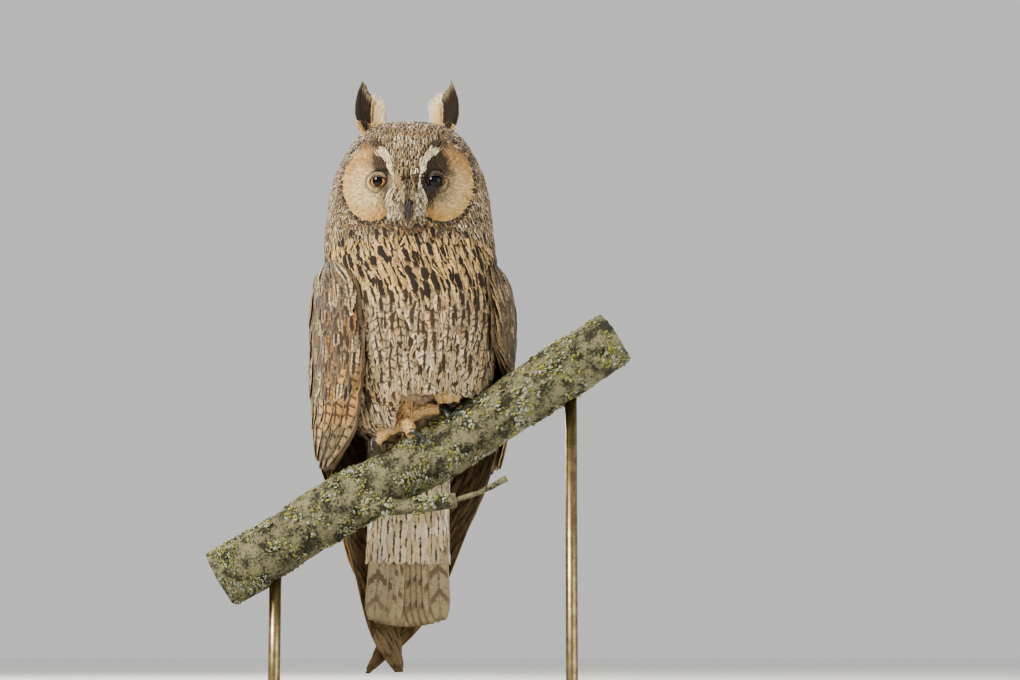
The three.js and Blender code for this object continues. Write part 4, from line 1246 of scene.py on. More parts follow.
@dataclass
class FaceCoat:
    """The discs' loose barbs, their dark rim, the pale brows and the bristles by the bill."""

    eye_aside: float = 18.0
    eye_z: float = 349.0
    eye_room: float = 6.6
    barbs: int = 4800
    disc: tuple = DISC

    def disc_marks(self, out: Array, up: Array, reach: Array, draw: Draw, side: Side) -> Marks:
        """Colours of the disc by place from the eye, with painted shade round the left eye."""
        count = len(out)
        ground = mix(CREAM, BUFF, smooth(reach, 0.35, 0.9) * 0.7 + 0.3 * draw.random(count))
        warm = smooth(up, 0, 14) * 0.85 + 0.8 * np.exp(-(((out + 1) / 8) ** 2) - ((up + 19) / 7) ** 2)
        ground = mix(ground, ORANGE * 0.75, np.clip(warm, 0, 0.8) * draw.uniform(0.5, 1, count))
        dark = 1.9 * np.exp(-(((out + 2.5) / 6.0) ** 2) - ((up - 11) / 8.5) ** 2)
        dark += 1.1 * np.exp(-(((out + 5.0) / 4.0) ** 2) - ((up + 9) / 6.0) ** 2)
        dark += 0.6 * np.exp(-(((np.hypot(out, up) - 4.6) / 1.3) ** 2))
        dark += 1.1 * np.exp(-(((out - 1) / 13) ** 2) - ((up - 24) / 4.5) ** 2)
        dark += 0.75 * smooth(reach, 0.93, 1.0) * smooth(out, 0, 8)
        # Painted shade: the left eye lies in shadow, so only that side gets this dark patch.
        if side is Side.LEFT:
            dark += 2.0 * np.exp(-(((out + 1.5) / 7.5) ** 2) - ((up - 4) / 10.5) ** 2)
        dark = np.clip(dark + draw.normal(0, 0.08, count), 0, 0.97)
        ground = mix(ground, mix(DARK * 1.2, BROWN, 0.35 * draw.random(count)), dark)
        return Marks.even(count, ground, mix(ground, DARK, 0.5), 0.15, 0.15, 0.1)

    def build(self) -> None:
        """Lays all parts of the face."""
        offset, wide, tall, middle = self.disc
        coat = Coat("face_discs", "face_feathers", 1, 3, 0.22)
        rim = Coat("face_ruff", "face_feathers", 2, 4, 0.3)
        brow = Coat("face_bristles", "face_feathers", 1, 5, 0.2)
        for side in Side:
            draw = np.random.default_rng(40 + side.value)
            aside = draw.uniform(offset - wide, offset + wide, self.barbs)
            z = draw.uniform(middle - tall, middle + tall, self.barbs)
            reach = np.sqrt(((aside - offset) / wide) ** 2 + ((z - middle) / tall) ** 2)
            out, up = aside - self.eye_aside, z - self.eye_z
            far = np.hypot(out, up)
            keep = (reach < 1) & (far > self.eye_room) & (aside > 5.5)
            keep &= (z < 346) | (aside > bridge_width(z) + 0.5)
            aside, z, reach, out, up, far = (v[keep] for v in (aside, z, reach, out, up, far))
            length = draw.uniform(5.5, 8.5, len(z)) * (1 - 0.25 * reach)
            way_out = out / far + draw.normal(0, 0.10, len(z))
            way_up = up / far + draw.normal(0, 0.10, len(z)) - 0.12
            marks = self.disc_marks(out, up, reach, draw, side)
            FACE.lay(
                coat, side, (aside, z), (way_out, way_up), length, draw.uniform(0.45, 0.85, len(z)),
                (-0.9, 0.5 + 0.5 * draw.random(len(z))), marks, draw, cup=0.1, **BARB,
            )
            self.lay_ruff(rim, side, draw)
            self.lay_brow(brow, side, draw)
            self.lay_bristles(brow, side, draw)
        coat.build(FINE_VANES)
        rim.build(FINE_VANES)
        brow.build(FINE_VANES)

    def lay_ruff(self, rim: Coat, side: Side, draw: Draw) -> None:
        """The stiff feathers round the disc's outer side and chin."""
        offset, wide, tall, middle = self.disc
        for ring, (grow, dark) in enumerate(((-0.8, 0.85), (0.4, 0.95), (1.8, 0.45), (3.2, 0.2))):
            count = 88
            turn = np.radians(np.linspace(-150, 72, count) + draw.normal(0, 1.0, count))
            aside = offset + (wide + grow) * np.cos(turn)
            z = middle + (tall + grow) * np.sin(turn)
            keep = (aside > 0.5) & ~((aside < 6) & (z > 330))
            aside, z, turn = aside[keep], z[keep], turn[keep]
            count = len(z)
            length = draw.uniform(3.0, 4.6, count)
            ground = mix(mix(WHITE, CREAM, 0.5), DARK * 1.3, np.clip(dark + draw.normal(0, 0.2, count), 0, 1))
            marks = Marks.even(count, ground, DARK, 0.4, 0.5, 0.45 * draw.random(count))
            FACE.lay(
                rim, side, (aside, z), (np.cos(turn), np.sin(turn)), length, draw.uniform(0.8, 1.3, count),
                (-0.8, 1.2 - 0.2 * ring), marks, draw, cup=0.3, ragged=0.15,
            )

    def lay_brow(self, brow: Coat, side: Side, draw: Draw) -> None:
        """The white streak from beside the bill up over the inner corner of the eye."""
        count = 300
        t = draw.random(count)
        line = Profile([[0, 7.5, 338], [0.3, 9.0, 348], [0.6, 10.3, 357], [1.0, 15.0, 366]])(t)
        spread = mix(0.8, 3.4, t**2)
        aside = line[:, 0] + draw.normal(0, 0.5, count) * spread
        z = line[:, 1] + draw.normal(0, 0.6, count)
        ahead = Profile([[0, 2, 12], [0.5, 2.5, 10], [1.0, 5, 9]])(t) + draw.normal(0, 0.9, (count, 2))
        ahead = ahead / np.linalg.norm(ahead, axis=1, keepdims=True)
        length = draw.uniform(6, 9, count)
        ground = mix(mix(WHITE, CREAM, draw.random(count)), BROWN, 0.6 * (draw.random(count) < 0.25))
        marks = Marks.even(count, ground, ground * 0.5, 0.2, 0.0, 0.1)
        FACE.lay(
            brow, side, (aside, z), ahead.T, length, draw.uniform(0.35, 0.7, count),
            (-0.6, 0.8 + 0.9 * draw.random(count)), marks, draw, cup=0.1, **BARB,
        )

    def lay_bristles(self, brow: Coat, side: Side, draw: Draw) -> None:
        """The pale bristles that cover the bill's base and fall beside it."""
        count = 900
        t = draw.random(count)
        aside = mix(0.2, 9.5, draw.random(count))
        z = mix(346, 328, t) - (9.5 - aside) * 0.3 * (1 - t)
        length = draw.uniform(7, 12, count) * (1 - 0.3 * t)
        ground = mix(mix(WHITE, CREAM, draw.random(count)), GREY, 0.9 * (draw.random(count) < 0.45))
        sooty = np.exp(-((aside / 4.0) ** 2)) * 0.8
        ground = mix(ground, DARK * 1.5, (draw.random(count) < 0.25 + sooty) * draw.uniform(0.4, 0.9, count))
        marks = Marks.even(count, ground, ground * 0.5, 0.1, 0.0, 0.1)
        FACE.lay(
            brow, side, (aside, z), (0.12 + 0.03 * aside, -1), length, draw.uniform(0.28, 0.6, count),
            (-0.6, mix(2.6, 1.2, t) + 0.8 * draw.random(count)), marks, draw,
            cup=0.05, blunt=0.25, base=0.6, ragged=0.2, curl=1.0,
        )


@dataclass
class LidForm:
    """A shell over the eye by angle round the gaze and distance out from the almond opening."""

    side: Side
    centre: Vector
    gaze: Vector
    radius: float
    opening: tuple
    reach: float = 2.4

    def point(self, angle: Array, along: Array, lift: Array) -> Array:
        """A place on the lids; angle 0 is to the viewer's right, and a quarter turn is up."""
        angle, along, lift = np.broadcast_arrays(angle, along, lift)
        wide, up, down = self.opening
        high = np.where(np.sin(angle) > 0, up, down)
        edge = 1 / np.sqrt((np.cos(angle) / wide) ** 2 + (np.sin(angle) / high) ** 2)
        polar = np.arcsin(np.clip(edge / self.radius, 0, 0.99)) + along / self.radius
        ahead = np.array(self.gaze)
        right = np.array(Vector((1, 0, 0)) - self.gaze * self.gaze.x)
        right /= np.linalg.norm(right)
        above = np.cross(right, ahead)
        above *= np.sign(above[2])
        ring = np.cos(angle)[..., None] * right + np.sin(angle)[..., None] * above
        way = np.cos(polar)[..., None] * ahead + np.sin(polar)[..., None] * ring
        return np.array(self.centre) + way * (self.radius + lift)[..., None]

    def scale(self, angle: Array, along: Array) -> Array:
        """Millimetres round the opening for each radian."""
        return 5.0 + 0.6 * along + 0 * angle

    def patch(self, angle: Array, along: Array) -> Array:
        """Where a root lies on the unrolled lids."""
        return np.stack(
            [0.02 + 0.94 * ((angle / TAU + 0.5) % 1.0), 0.02 + 0.9 * np.clip(along / 12, 0, 1)], -1
        )


@dataclass
class Eyes:
    """Two set-in eyes with lids."""

    aside: float = 18.0
    y: float = -33.5
    z: float = 349.0
    head_x: float = -5.7
    radius: float = 7.9
    lid: float = 0.7

    def build(self) -> None:
        """Makes the eyes and the rims of their lids."""
        for side in Side:
            name = side.name.lower()
            centre = Vector((self.head_x + side.value * self.aside, self.y, self.z))
            gaze = Vector((side.value * 0.20 - 0.02, -1, -0.06)).normalized()
            bm = bmesh.new()
            bmesh.ops.create_uvsphere(bm, u_segments=64, v_segments=48, radius=self.radius)
            for vert in bm.verts:
                bulge = max(0.0, vert.co.normalized().dot(gaze) - 0.72)
                vert.co += gaze * bulge * 2.2
            bmesh.ops.translate(bm, vec=centre, verts=bm.verts)
            mesh = mesh_of(f"eye_{name}_ball", bm)
            turn = [((v.co / MM) - centre).normalized().angle(gaze) for v in mesh.vertices]
            layer = mesh.attributes.new("gaze", "FLOAT", "POINT")
            layer.data.foreach_set("value", np.array(turn, np.float32))
            pupil = 0.46 if side is Side.RIGHT else 0.64
            piece = add_piece(f"eye_{name}_ball", mesh, "eye", EyeFinish(f"eye {name}", pupil).material())
            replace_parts(piece, f"eye_{name}")
            self.lids(side, centre, gaze)

    def lids(self, side: Side, centre: Vector, gaze: Vector) -> None:
        """The dark rim round an almond opening, and the short feathers on the lids."""
        name = side.name.lower()
        opening = (5.6, 2.5, 3.7) if side is Side.RIGHT else (5.8, 3.5, 3.9)
        form = LidForm(side, centre, gaze, self.radius + self.lid, opening)
        bm, angle, share = cut_cylinder(64, 9, capped=False)
        set_places(bm, form.point(angle, form.reach * share, 0 * share))
        bmesh.ops.solidify(bm, geom=bm.faces[:], thickness=0.6)
        add_piece(f"eye_{name}_lids", mesh_of(f"eye_{name}_lids", bm), "horn", LID_SKIN.material())
        draw = np.random.default_rng(50 + side.value)
        coat = Coat(f"eye_{name}_lid_feathers", "face_feathers", 1, 3, 0.18)
        count = 1100
        angle = draw.uniform(-math.pi, math.pi, count)
        start = draw.uniform(0.5, 1.9, count)
        length = draw.uniform(1.6, 2.7, count)
        spot = form.point(angle, start, 0 * start)
        out = side.value * (spot[:, 0] - centre.x)
        up = spot[:, 2] - centre.z
        # The lid feathers take the disc's colours, with the painted shade round the left eye.
        marks = FaceCoat().disc_marks(out, up, 0 * out + 0.3, draw, side)
        stripe = np.exp(-(((start - 1.6) / 0.9) ** 2)) * smooth(np.sin(angle), 0.2, 0.6)
        marks.ground = mix(marks.ground, TAN, 0.8 * stripe * (side is Side.RIGHT))
        tip = (angle + draw.normal(0, 0.1, count), start + length)
        coat.lay(
            form, (angle, start), tip, draw.uniform(0.3, 0.5, count),
            (-0.1, 0.45 + 0.3 * draw.random(count)), marks, draw, cup=0.0, **BARB,
        )
        count = 560
        turn = draw.uniform(-math.pi, math.pi, count)
        far = draw.uniform(4.8, 7.4, count)
        out, up = 1.2 * far * np.cos(turn), far * np.sin(turn)
        length = draw.uniform(3.5, 5.5, count)
        # These take the disc's colours too, with the painted shade round the left eye.
        marks = FaceCoat().disc_marks(out, up, 0 * out + 0.35, draw, side)
        FACE.lay(
            coat, side, (self.aside + out, self.z + up), (np.cos(turn), np.sin(turn)), length,
            draw.uniform(0.4, 0.7, count), (1.8, 0.7 + 0.4 * draw.random(count)), marks, draw,
            cup=0.0, **BARB,
        )
        coat.build(FINE_VANES)


@dataclass
class Bill:
    """The hooked upper and the short lower half of the bill."""

    def build(self) -> None:
        """Makes both halves."""
        upper = TubeForm(
            [
                [-5.2, -33, 344], [-5, -42, 343.5], [-4.6, -49, 337.5], [-4.2, -52.5, 327],
                [-3.9, -50.5, 316.5],
            ],
            lambda t: (4.5 * (1 - 0.97 * t**2.2), 4.9 * (1 - 0.97 * t**2.2)),
        )
        lower = TubeForm(
            [[-5, -32, 329.5], [-4.8, -39, 329.5], [-4.5, -44.5, 326], [-4.3, -47.5, 321.5]],
            lambda t: (3.5 * (1 - 0.9 * t**2), 2.5 * (1 - 0.9 * t**2)),
        )
        for name, form in (("upper", upper), ("lower", lower)):
            bm = bmesh.new()
            add_tube(bm, form, 32, 30)
            if name == "upper":
                for side in (-1, 1):
                    dent = bmesh.ops.create_uvsphere(bm, u_segments=16, v_segments=10, radius=0.9)["verts"]
                    bmesh.ops.translate(bm, vec=(-5 + side * 3.7, -44.4, 343.2), verts=dent)
            piece = add_piece(f"bill_{name}_half", mesh_of(f"bill_{name}_half", bm), "horn", HORN.material())
            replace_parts(piece, f"bill_{name}")
        self.plumes(upper)

    @staticmethod
    def plumes(form: TubeForm) -> None:
        """The bristles that lie over the bill's base down to its bare hook."""
        draw = np.random.default_rng(90)
        coat = Coat("bill_plumes", "face_feathers", 1, 4, 0.2)
        count = 620
        angle = draw.uniform(0, TAU, count)
        along = draw.uniform(2, 22, count)
        middle = np.exp(-(((np.cos(angle)) / 0.6) ** 2))
        ground = mix(mix(BROWN, CREAM, draw.random(count)), DARK * 1.3, middle * draw.uniform(0.6, 1, count))
        marks = Marks.even(count, ground, ground * 0.5, 0.1, 0.0, 0.0)
        coat.lay(
            form, (angle, along), (angle + draw.normal(0, 0.15, count), along + draw.uniform(4, 7, count)),
            draw.uniform(0.25, 0.5, count), (0.1, 0.7 + 0.6 * draw.random(count)), marks, draw,
            cup=0.0, blunt=0.25, base=0.6, ragged=0.2,
        )
        coat.build(FINE_VANES)


@dataclass
class EarForm:
    """A fan of feathers standing on the head: a runs from the outer feather to the inner one."""

    side: Side
    x: float = -7.5
    y: float = -8.2
    root_z: float = 384.0
    roots: tuple = (24.5, 22.0)
    tips: Profile = field(
        default_factory=lambda: Profile(
            [[0, 30, 426.5], [0.2, 29, 424], [0.4, 26, 419], [0.6, 22.5, 414], [0.8, 18.5, 410], [1, 16, 404]]
        )
    )

    def tall(self, a: Array) -> Array:
        """Length of the feather at a share of the fan."""
        return self.tips(a)[..., 1] - self.root_z

    def point(self, a: Array, b: Array, lift: Array) -> Array:
        """A place in the fan; lift is towards the viewer."""
        a, b, lift = np.broadcast_arrays(a, b, lift)
        tip = self.tips(a)
        t = b / (tip[..., 1] - self.root_z)
        root = self.roots[0] + (self.roots[1] - self.roots[0]) * a
        beyond = (a - np.clip(a, 0, 1)) * 8
        aside = root + (tip[..., 0] - root) * t - beyond + (4.6 - 6.0 * a) * np.sin(np.pi * np.clip(t, 0, 1))
        curve = 2.2 * (1 - a) * np.sin(np.pi * np.clip(t, 0, 1))
        return np.stack(
            [self.x + self.side.value * aside, self.y + 5.5 * a - lift + curve, self.root_z + b], -1
        )

    def scale(self, a: Array, b: Array) -> Array:
        """Millimetres across the fan for each unit of a."""
        return 6.0 + 0.22 * np.maximum(b, 0) + 0 * a

    def patch(self, a: Array, b: Array) -> Array:
        """Where a root lies on the unrolled skin."""
        half = 0.0 if self.side is Side.RIGHT else 0.5
        return np.stack([half + 0.03 + 0.4 * np.clip(a, 0, 1), 0.05 + 0.9 * np.clip(b, 0, 45) / 45], -1)


@dataclass
class EarTufts:
    """The long erect tufts, dark outside, cream along the inner edge."""

    def build(self) -> None:
        """Lays both tufts as one piece each."""
        for side in Side:
            draw = np.random.default_rng(60 + side.value)
            form = EarForm(side)
            coat = Coat(f"ear_{side.name.lower()}_feathers", "tuft_feathers", 2, 8, 0.35)
            for layer, count in ((0.9, 9), (0.0, 10), (-1.2, 9)):
                a = np.linspace(0.0, 0.95, count) + draw.normal(0, 0.02, count)
                tall = form.tall(a) * draw.uniform(0.93, 1.0, count) - abs(layer) * 1.2
                inner = smooth(a, 0.46, 0.72)
                ground = mix(DARK * 1.2, CREAM, inner)
                ground = mix(ground, BUFF, 0.7 * inner * draw.random(count))
                marks = Marks.even(count, ground, mix(DARK * 0.8, BROWN, inner), 0.12 * (1 - inner), 0.0, 0.5)
                half = mix(2.6, 1.7, a)
                coat.lay(
                    form, (a, 0 * a), (a, tall), half, (layer, layer), marks, draw,
                    cup=0.4, blunt=0.6, base=0.6, ragged=0.08,
                )
            count = 620
            a = draw.uniform(0.42, 1.0, count)
            root = draw.uniform(2, 0.84 * form.tall(a), count)
            length = draw.uniform(4.5, 7.5, count)
            low = np.clip(1 - root / 16, 0, 1) * draw.random(count)
            marks = Marks.even(count, mix(CREAM, WHITE, 0.5), CREAM * 0.6, 0.0, 0.0, 0.0)
            marks.ground = mix(marks.ground, mix(ORANGE, BROWN, 0.4), low)
            coat.lay(
                form, (a, root), (a + 0.05 + 0.14 * draw.random(count), root + length), 0.35,
                (0.3, 0.8 * draw.random(count)), marks, draw, cup=0.0, blunt=0.2, base=0.6,
            )
            count = 320
            a = draw.uniform(-0.25, 1.2, count)
            root = draw.uniform(-1, 7, count)
            length = draw.uniform(4, 8, count)
            ground = mix(DARK, BUFF, smooth(a, 0.3, 0.7))
            ground = mix(ground, CREAM, 0.6 * draw.random(count) * smooth(a, 0.2, 0.7))
            ground = mix(ground, BUFF, 0.8 * (a < -0.12))
            marks = Marks.even(count, ground, ground * 0.5, 0.2, 0.0, 0.2)
            coat.lay(
                form, (a, root), (a, root + length), draw.uniform(0.6, 1.1, count),
                (draw.choice([-2.2, 1.4], count), draw.choice([-1.4, 1.6], count)), marks, draw,
                cup=0.1, blunt=0.3, base=0.6, ragged=0.15,
            )
            piece = coat.build(FINE_VANES)
            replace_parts(piece, f"ear_tuft_{side.name.lower()}")


@dataclass
class Wings:
    """Folded wings: flight feathers, coverts in tiers and scapulars."""

    layer: float = 1.1
    plate_middle: float = 229.5
    plate_half: float = 70.5

    def build(self) -> None:
        """Makes both wings."""
        for side in Side:
            self.wing(side)

    def tier(
        self, coat: Coat, form: WingForm, count: int, shares: tuple, roots: tuple, tips: tuple,
        half: float, lift: tuple, colours: tuple, draw: Draw, **shape: float,
    ) -> None:
        """One row of feathers from the leading edge back.

        Args:
            coat: the piece they join.
            form: the wing.
            count: how many.
            shares: first and last share of the wing's breadth.
            roots: heights of the first and last root.
            tips: heights of the first and last tip.
            half: half width.
            lift: at root and tip.
            colours: ground, mark, streak, bars and edge.
            draw: source of small differences.
            shape: other settings of the leaf.
        """
        k = np.linspace(0, 1, count)
        share = mix(*shares, k)
        breadth = float(form.scale(share, np.full(count, max(tips))).mean())
        spacing = (shares[1] - shares[0]) / max(count - 1, 1) * breadth
        marks = Marks.even(count, *colours)
        marks.ground = mix(marks.ground, mix(CREAM, BUFF, 0.4), 0.45 * draw.random(count))
        marks.ground = mix(marks.ground, ORANGE, 0.6 * (draw.random(count) < 0.25))
        marks.ground = marks.ground * draw.uniform(0.5, 1.0, count)[:, None]
        marks.streak = marks.streak * draw.uniform(0.6, 1.4, count)
        coat.lay(
            form,
            (share, mix(*roots, k) + draw.normal(0, 1, count)),
            (share, mix(*tips, k) + draw.normal(0, 3.2, count)),
            half, lift, marks, draw, tilt=self.layer * half / max(spacing, 1),
            patch_size=0.02, **{"cup": 0.45, "blunt": 0.62, "base": 0.7, "ragged": 0.1, **shape},
        )

    def small(
        self, coat: Coat, form: WingForm, span: tuple, rows: tuple, size: tuple, draw: Draw
    ) -> None:
        """The lesser coverts that shingle the wing's upper part."""
        share, z = set_out(form, rows[0], rows[1], size[0] * 0.26, size[1] * 1.3, span, draw)
        count = len(z)
        edge_front = 1 - smooth(share, 0.0, 0.25)
        ground = mix(mix(UMBER, GREY, draw.random(count)), BUFF, 0.5 * edge_front * draw.random(count))
        ground = mix(ground, ORANGE, (draw.random(count) < 0.12) * 0.7)
        ground = mix(ground, CREAM, (draw.random(count) < 0.3) * 0.8) * draw.uniform(0.6, 1.0, count)[:, None]
        mark = mix(BROWN, DARK, draw.random(count))
        marks = Marks.even(count, ground, mark, draw.uniform(0.15, 0.6, count), 0.7, 0.35)
        tip = (share, z - size[0] * draw.uniform(0.85, 1.1, count))
        coat.lay(
            form, (share, z), tip, size[1] * draw.uniform(0.85, 1.1, count),
            (-2.0, 1.4 + 0.9 * draw.random(count)), marks, draw, ragged=0.2, blunt=0.45, patch_size=0.004,
        )

    def wing(self, side: Side) -> None:
        """Lays one wing and the plate under its feathers."""
        name = f"wing_{side.name.lower()}"
        form = WingForm(side)
        draw = np.random.default_rng(80 + side.value)
        flight = Coat(f"{name}_flight", "wing_feathers", 6, 18, 0.5)
        tip = 24 if side is Side.RIGHT else 23
        k = np.linspace(0, 1, 7)
        drop = Profile([[0, 10], [0.25, 0], [0.5, 2], [0.75, 18], [1, 42]])(k)[:, 0]
        marks = Marks.even(7, mix(UMBER, BUFF, 0.25), mix(BROWN, DARK, 0.5), 0.08, 0.85, 0.35)
        flight.lay(
            form, (mix(0.1, 0.6, k), 184 + 0 * k), (mix(0.25, 0.8, k), tip + drop), 6.6,
            (-4.8 + 2.4 * k, -4.8 + 2.4 * k), marks, draw, tilt=0.8, cup=0.3, blunt=0.86, base=0.6,
            ragged=0.015, patch_size=0.04,
        )
        barred = (mix(UMBER, BUFF, 0.2), mix(BROWN, DARK, 0.5), 0.1, 0.85, 0.4)
        for count, shares, roots, tips, half, lift, blunt in (
            (8, (0.42, 0.95), (188, 192), (94, 128), 7.6, (-1.4, -1.0), 0.85),
            (3, (0.74, 0.94), (228, 230), (148, 158), 9.0, (-1.6, 1.6), 0.8),
        ):
            self.tier(flight, form, count, shares, roots, tips, half, lift, barred, draw, blunt=blunt)
        flight.build(WING_VANES)
        coverts = Coat(f"{name}_coverts", "wing_feathers", 4, 10, 0.4)
        mottled = (mix(UMBER, CREAM, 0.35), mix(BROWN, DARK, 0.6), 0.16, 0.9, 0.5)
        scapular = (mix(UMBER, CREAM, 0.42), mix(BROWN, DARK, 0.6), 0.2, 0.9, 0.55)
        for count, shares, roots, tips, half, top, colours in (
            (9, (0.05, 0.66), (206, 212), (163, 170), 7.2, 1.2, mottled),
            (9, (0.05, 0.66), (224, 228), (184, 190), 7.4, 1.5, mottled),
            (8, (0.05, 0.64), (242, 246), (205, 210), 7.4, 1.7, mottled),
            (6, (0.42, 0.96), (256, 258), (206, 196), 9.0, 3.0, scapular),
            (6, (0.44, 0.94), (276, 276), (230, 222), 8.6, 3.2, scapular),
            (6, (0.42, 0.92), (292, 290), (252, 246), 8.0, 3.2, scapular),
        ):
            self.tier(coverts, form, count, shares, roots, tips, half, (-2.2, top), colours, draw)
        self.small(coverts, form, (0.03, 0.98), (222, 300), (21.0, 3.6), draw)
        piece = coverts.build(WING_VANES)
        bm = bmesh.new()
        bmesh.ops.create_grid(bm, x_segments=26, y_segments=40, size=1)
        flat = np.array([v.co for v in bm.verts])
        z = self.plate_middle + flat[:, 1] * self.plate_half
        set_places(bm, form.point((flat[:, 0] + 1) / 2, z, np.full(len(z), -2.4)))
        bmesh.ops.solidify(bm, geom=bm.faces[:], thickness=1.2)
        mesh = mesh_of(f"{name}_plate", bm)
        add_piece(f"{name}_plate", mesh, "wing_feathers", WING_DOWN.material())
        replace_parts(piece, name)


@dataclass
class TailForm(FlatForm):
    """The closed tail's plane: distance from its middle line and height, lifted to the back."""

    x: float = 2.0
    rows: Profile = field(
        default_factory=lambda: Profile(
            [
                [54, 29, 1.6, 35], [80, 29, 2.2, 33], [110, 27.5, 4, 30], [140, 27, 8, 29.5],
                [168, 28, 11, 29], [195, 32, 16, 22], [215, 36, 20, 16],
            ]
        )
    )

    def point(self, a: Array, z: Array, lift: Array) -> Array:
        """A place on the tail."""
        a, z, lift = np.broadcast_arrays(a, z, lift)
        return BODY.frame_point(self.x + a, self.rows(z)[..., 2] + lift, z)

    def patch(self, a: Array, z: Array) -> Array:
        """Where a root lies on the unrolled skin."""
        return np.stack([0.5 + 0.011 * a, 0.02 + 0.9 * (z - 50) / 160], -1)


@dataclass
class RumpForm(TailForm):
    """The rump's own round surface, by angle and height."""

    def point(self, angle: Array, z: Array, lift: Array) -> Array:
        """A place on the rump."""
        angle, z, lift = np.broadcast_arrays(angle, z, lift)
        wide, deep, y = np.moveaxis(self.rows(z), -1, 0)
        return BODY.frame_point(self.x + np.sin(angle) * (wide + lift), y - np.cos(angle) * (deep + lift), z)

    def scale(self, angle: Array, z: Array) -> Array:
        """Millimetres round the rump for each radian."""
        return self.rows(z)[..., 0] * 0.8 + 0 * angle

    def patch(self, angle: Array, z: Array) -> Array:
        """Where a root lies on the unrolled skin."""
        return np.stack([0.02 + 0.94 * ((angle / TAU + 0.5) % 1.0), 0.02 + 0.94 * (z - 100) / 120], -1)


@dataclass
class Tail:
    """Twelve closed tail feathers under soft coverts."""

    def build(self) -> None:
        """Makes the feathers, their coverts and the rump's skin."""
        form, rump = TailForm(), RumpForm()
        draw = np.random.default_rng(100)
        coat = Coat("tail_flight", "tail_feathers", 6, 16, 0.5)
        place = np.arange(12) - 5.5
        layer = 0.9 * (3 - np.abs(place)) - np.where(place > 0, 0.45, 0)
        marks = Marks.even(12, mix(GREY, CREAM, 0.45), mix(BROWN, UMBER, 0.3), 0.06, 0.8, 0.5)
        coat.lay(
            form, (place * 2.6, 176 + 0 * place), (place * 4.2, 54 + 0.14 * place**2), 7.4,
            (layer, layer), marks, draw, cup=0.25, blunt=0.87, base=0.5, ragged=0.015, patch_size=0.04,
        )
        coat.build(WING_VANES)
        soft = Coat("tail_coverts", "tail_feathers", 2, 7, 0.35)
        for low, high, front in ((118, 200, True), (124, 214, False)):
            angle, z = set_out(rump, low, high, 7.0, 6.5, (-1.5, 1.5), draw)
            angle = angle if front else angle + math.pi
            count = len(z)
            length = draw.uniform(22, 32, count)
            base, most, streak, bars = (WHITE, 1.0, 0.12, 0.1) if front else (UMBER, 0.5, 0.35, 0.5)
            ground = mix(base, CREAM, most * draw.random(count))
            marks = Marks.even(count, ground, mix(BROWN, DARK, 0.5), streak, bars, 0.3)
            soft.lay(
                rump, (angle, z), (angle, np.maximum(z - length, 96)), draw.uniform(4, 5.4, count),
                (-1.5, 1.2 + draw.random(count)), marks, draw, ragged=0.2, blunt=0.4,
            )
        piece = soft.build(BODY_VANES)
        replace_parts(piece, "tail")
        mesh = closed_skin("rump_skin", rump, 100, 206, lambda angle, z: 0 * z + 2.2, 48, 60)
        add_piece("rump_skin", mesh, "tail_feathers", DOWN.material())


@dataclass
class Foot:
    """One feathered foot with its claws."""

    name: str
    leg: list
    leg_size: tuple
    toes: list
    claws: list
    across: tuple = (0.5, 0.3, 0.8)
    coat_depth: float = 1.1

    def toe_size(self, t: Array) -> tuple:
        """Half width and height of a toe under its feathers."""
        size = 4.6 - 0.7 * t + 0.35 * np.cos(t * math.pi * 5) - self.coat_depth
        return size, size * 0.92

    def build(self) -> None:
        """Makes skin, feathers and claws."""
        draw = np.random.default_rng(len(self.name))
        wide, end = self.leg_size
        shank = TubeForm(self.leg, lambda t: (wide + (end - wide) * t - self.coat_depth,) * 2)
        limbs = [shank] + [TubeForm(toe, self.toe_size, self.across) for toe in self.toes]
        bm = bmesh.new()
        for limb in limbs:
            add_tube(bm, limb, 24, 18)
        mesh = mesh_of(f"foot_{self.name}_skin", bm)
        skin = add_piece(f"foot_{self.name}_skin", mesh, "leg_feathers", FOOT_SKIN.material())
        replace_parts(skin, f"leg_{self.name}")
        coat = Coat(f"foot_{self.name}_coat", "leg_feathers", 1, 3, 0.25)
        for limb in limbs:
            count = int(limb.length * 26)
            angle = draw.uniform(0, TAU, count)
            along = draw.uniform(-0.5, limb.length * 0.97, count)
            length = draw.uniform(3.2, 5.0, count)
            ground = mix(mix(BUFF, CREAM, draw.random(count)), ORANGE, 0.3 * draw.random(count))
            marks = Marks.even(count, ground, ground * 0.6, 0.15, 0.0, 0.3)
            tip = (angle + draw.normal(0, 0.12, count), np.minimum(along + length, limb.length + 1.5))
            coat.lay(
                limb, (angle, along), tip, draw.uniform(0.5, 0.9, count),
                (-0.3, 0.5 + 0.6 * draw.random(count)), marks, draw,
                cup=0.1, blunt=0.3, base=0.6, ragged=0.15,
            )
        coat.build(FINE_VANES)
        bm = bmesh.new()
        for line in self.claws:
            add_tube(bm, TubeForm(line, self.claw_size, self.across), 20, 18)
        mesh = mesh_of(f"foot_{self.name}_claws", bm)
        claws = add_piece(f"foot_{self.name}_claws", mesh, "horn", CLAW_HORN.material())
        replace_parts(claws, *[f"claw_{self.name}_{i + 1}" for i in range(4)])

    @staticmethod
    def claw_size(t: Array) -> tuple:
        """Half width and height of a claw."""
        size = 2.5 + (0.15 - 2.5) * t**1.4
        return size * 0.85, size


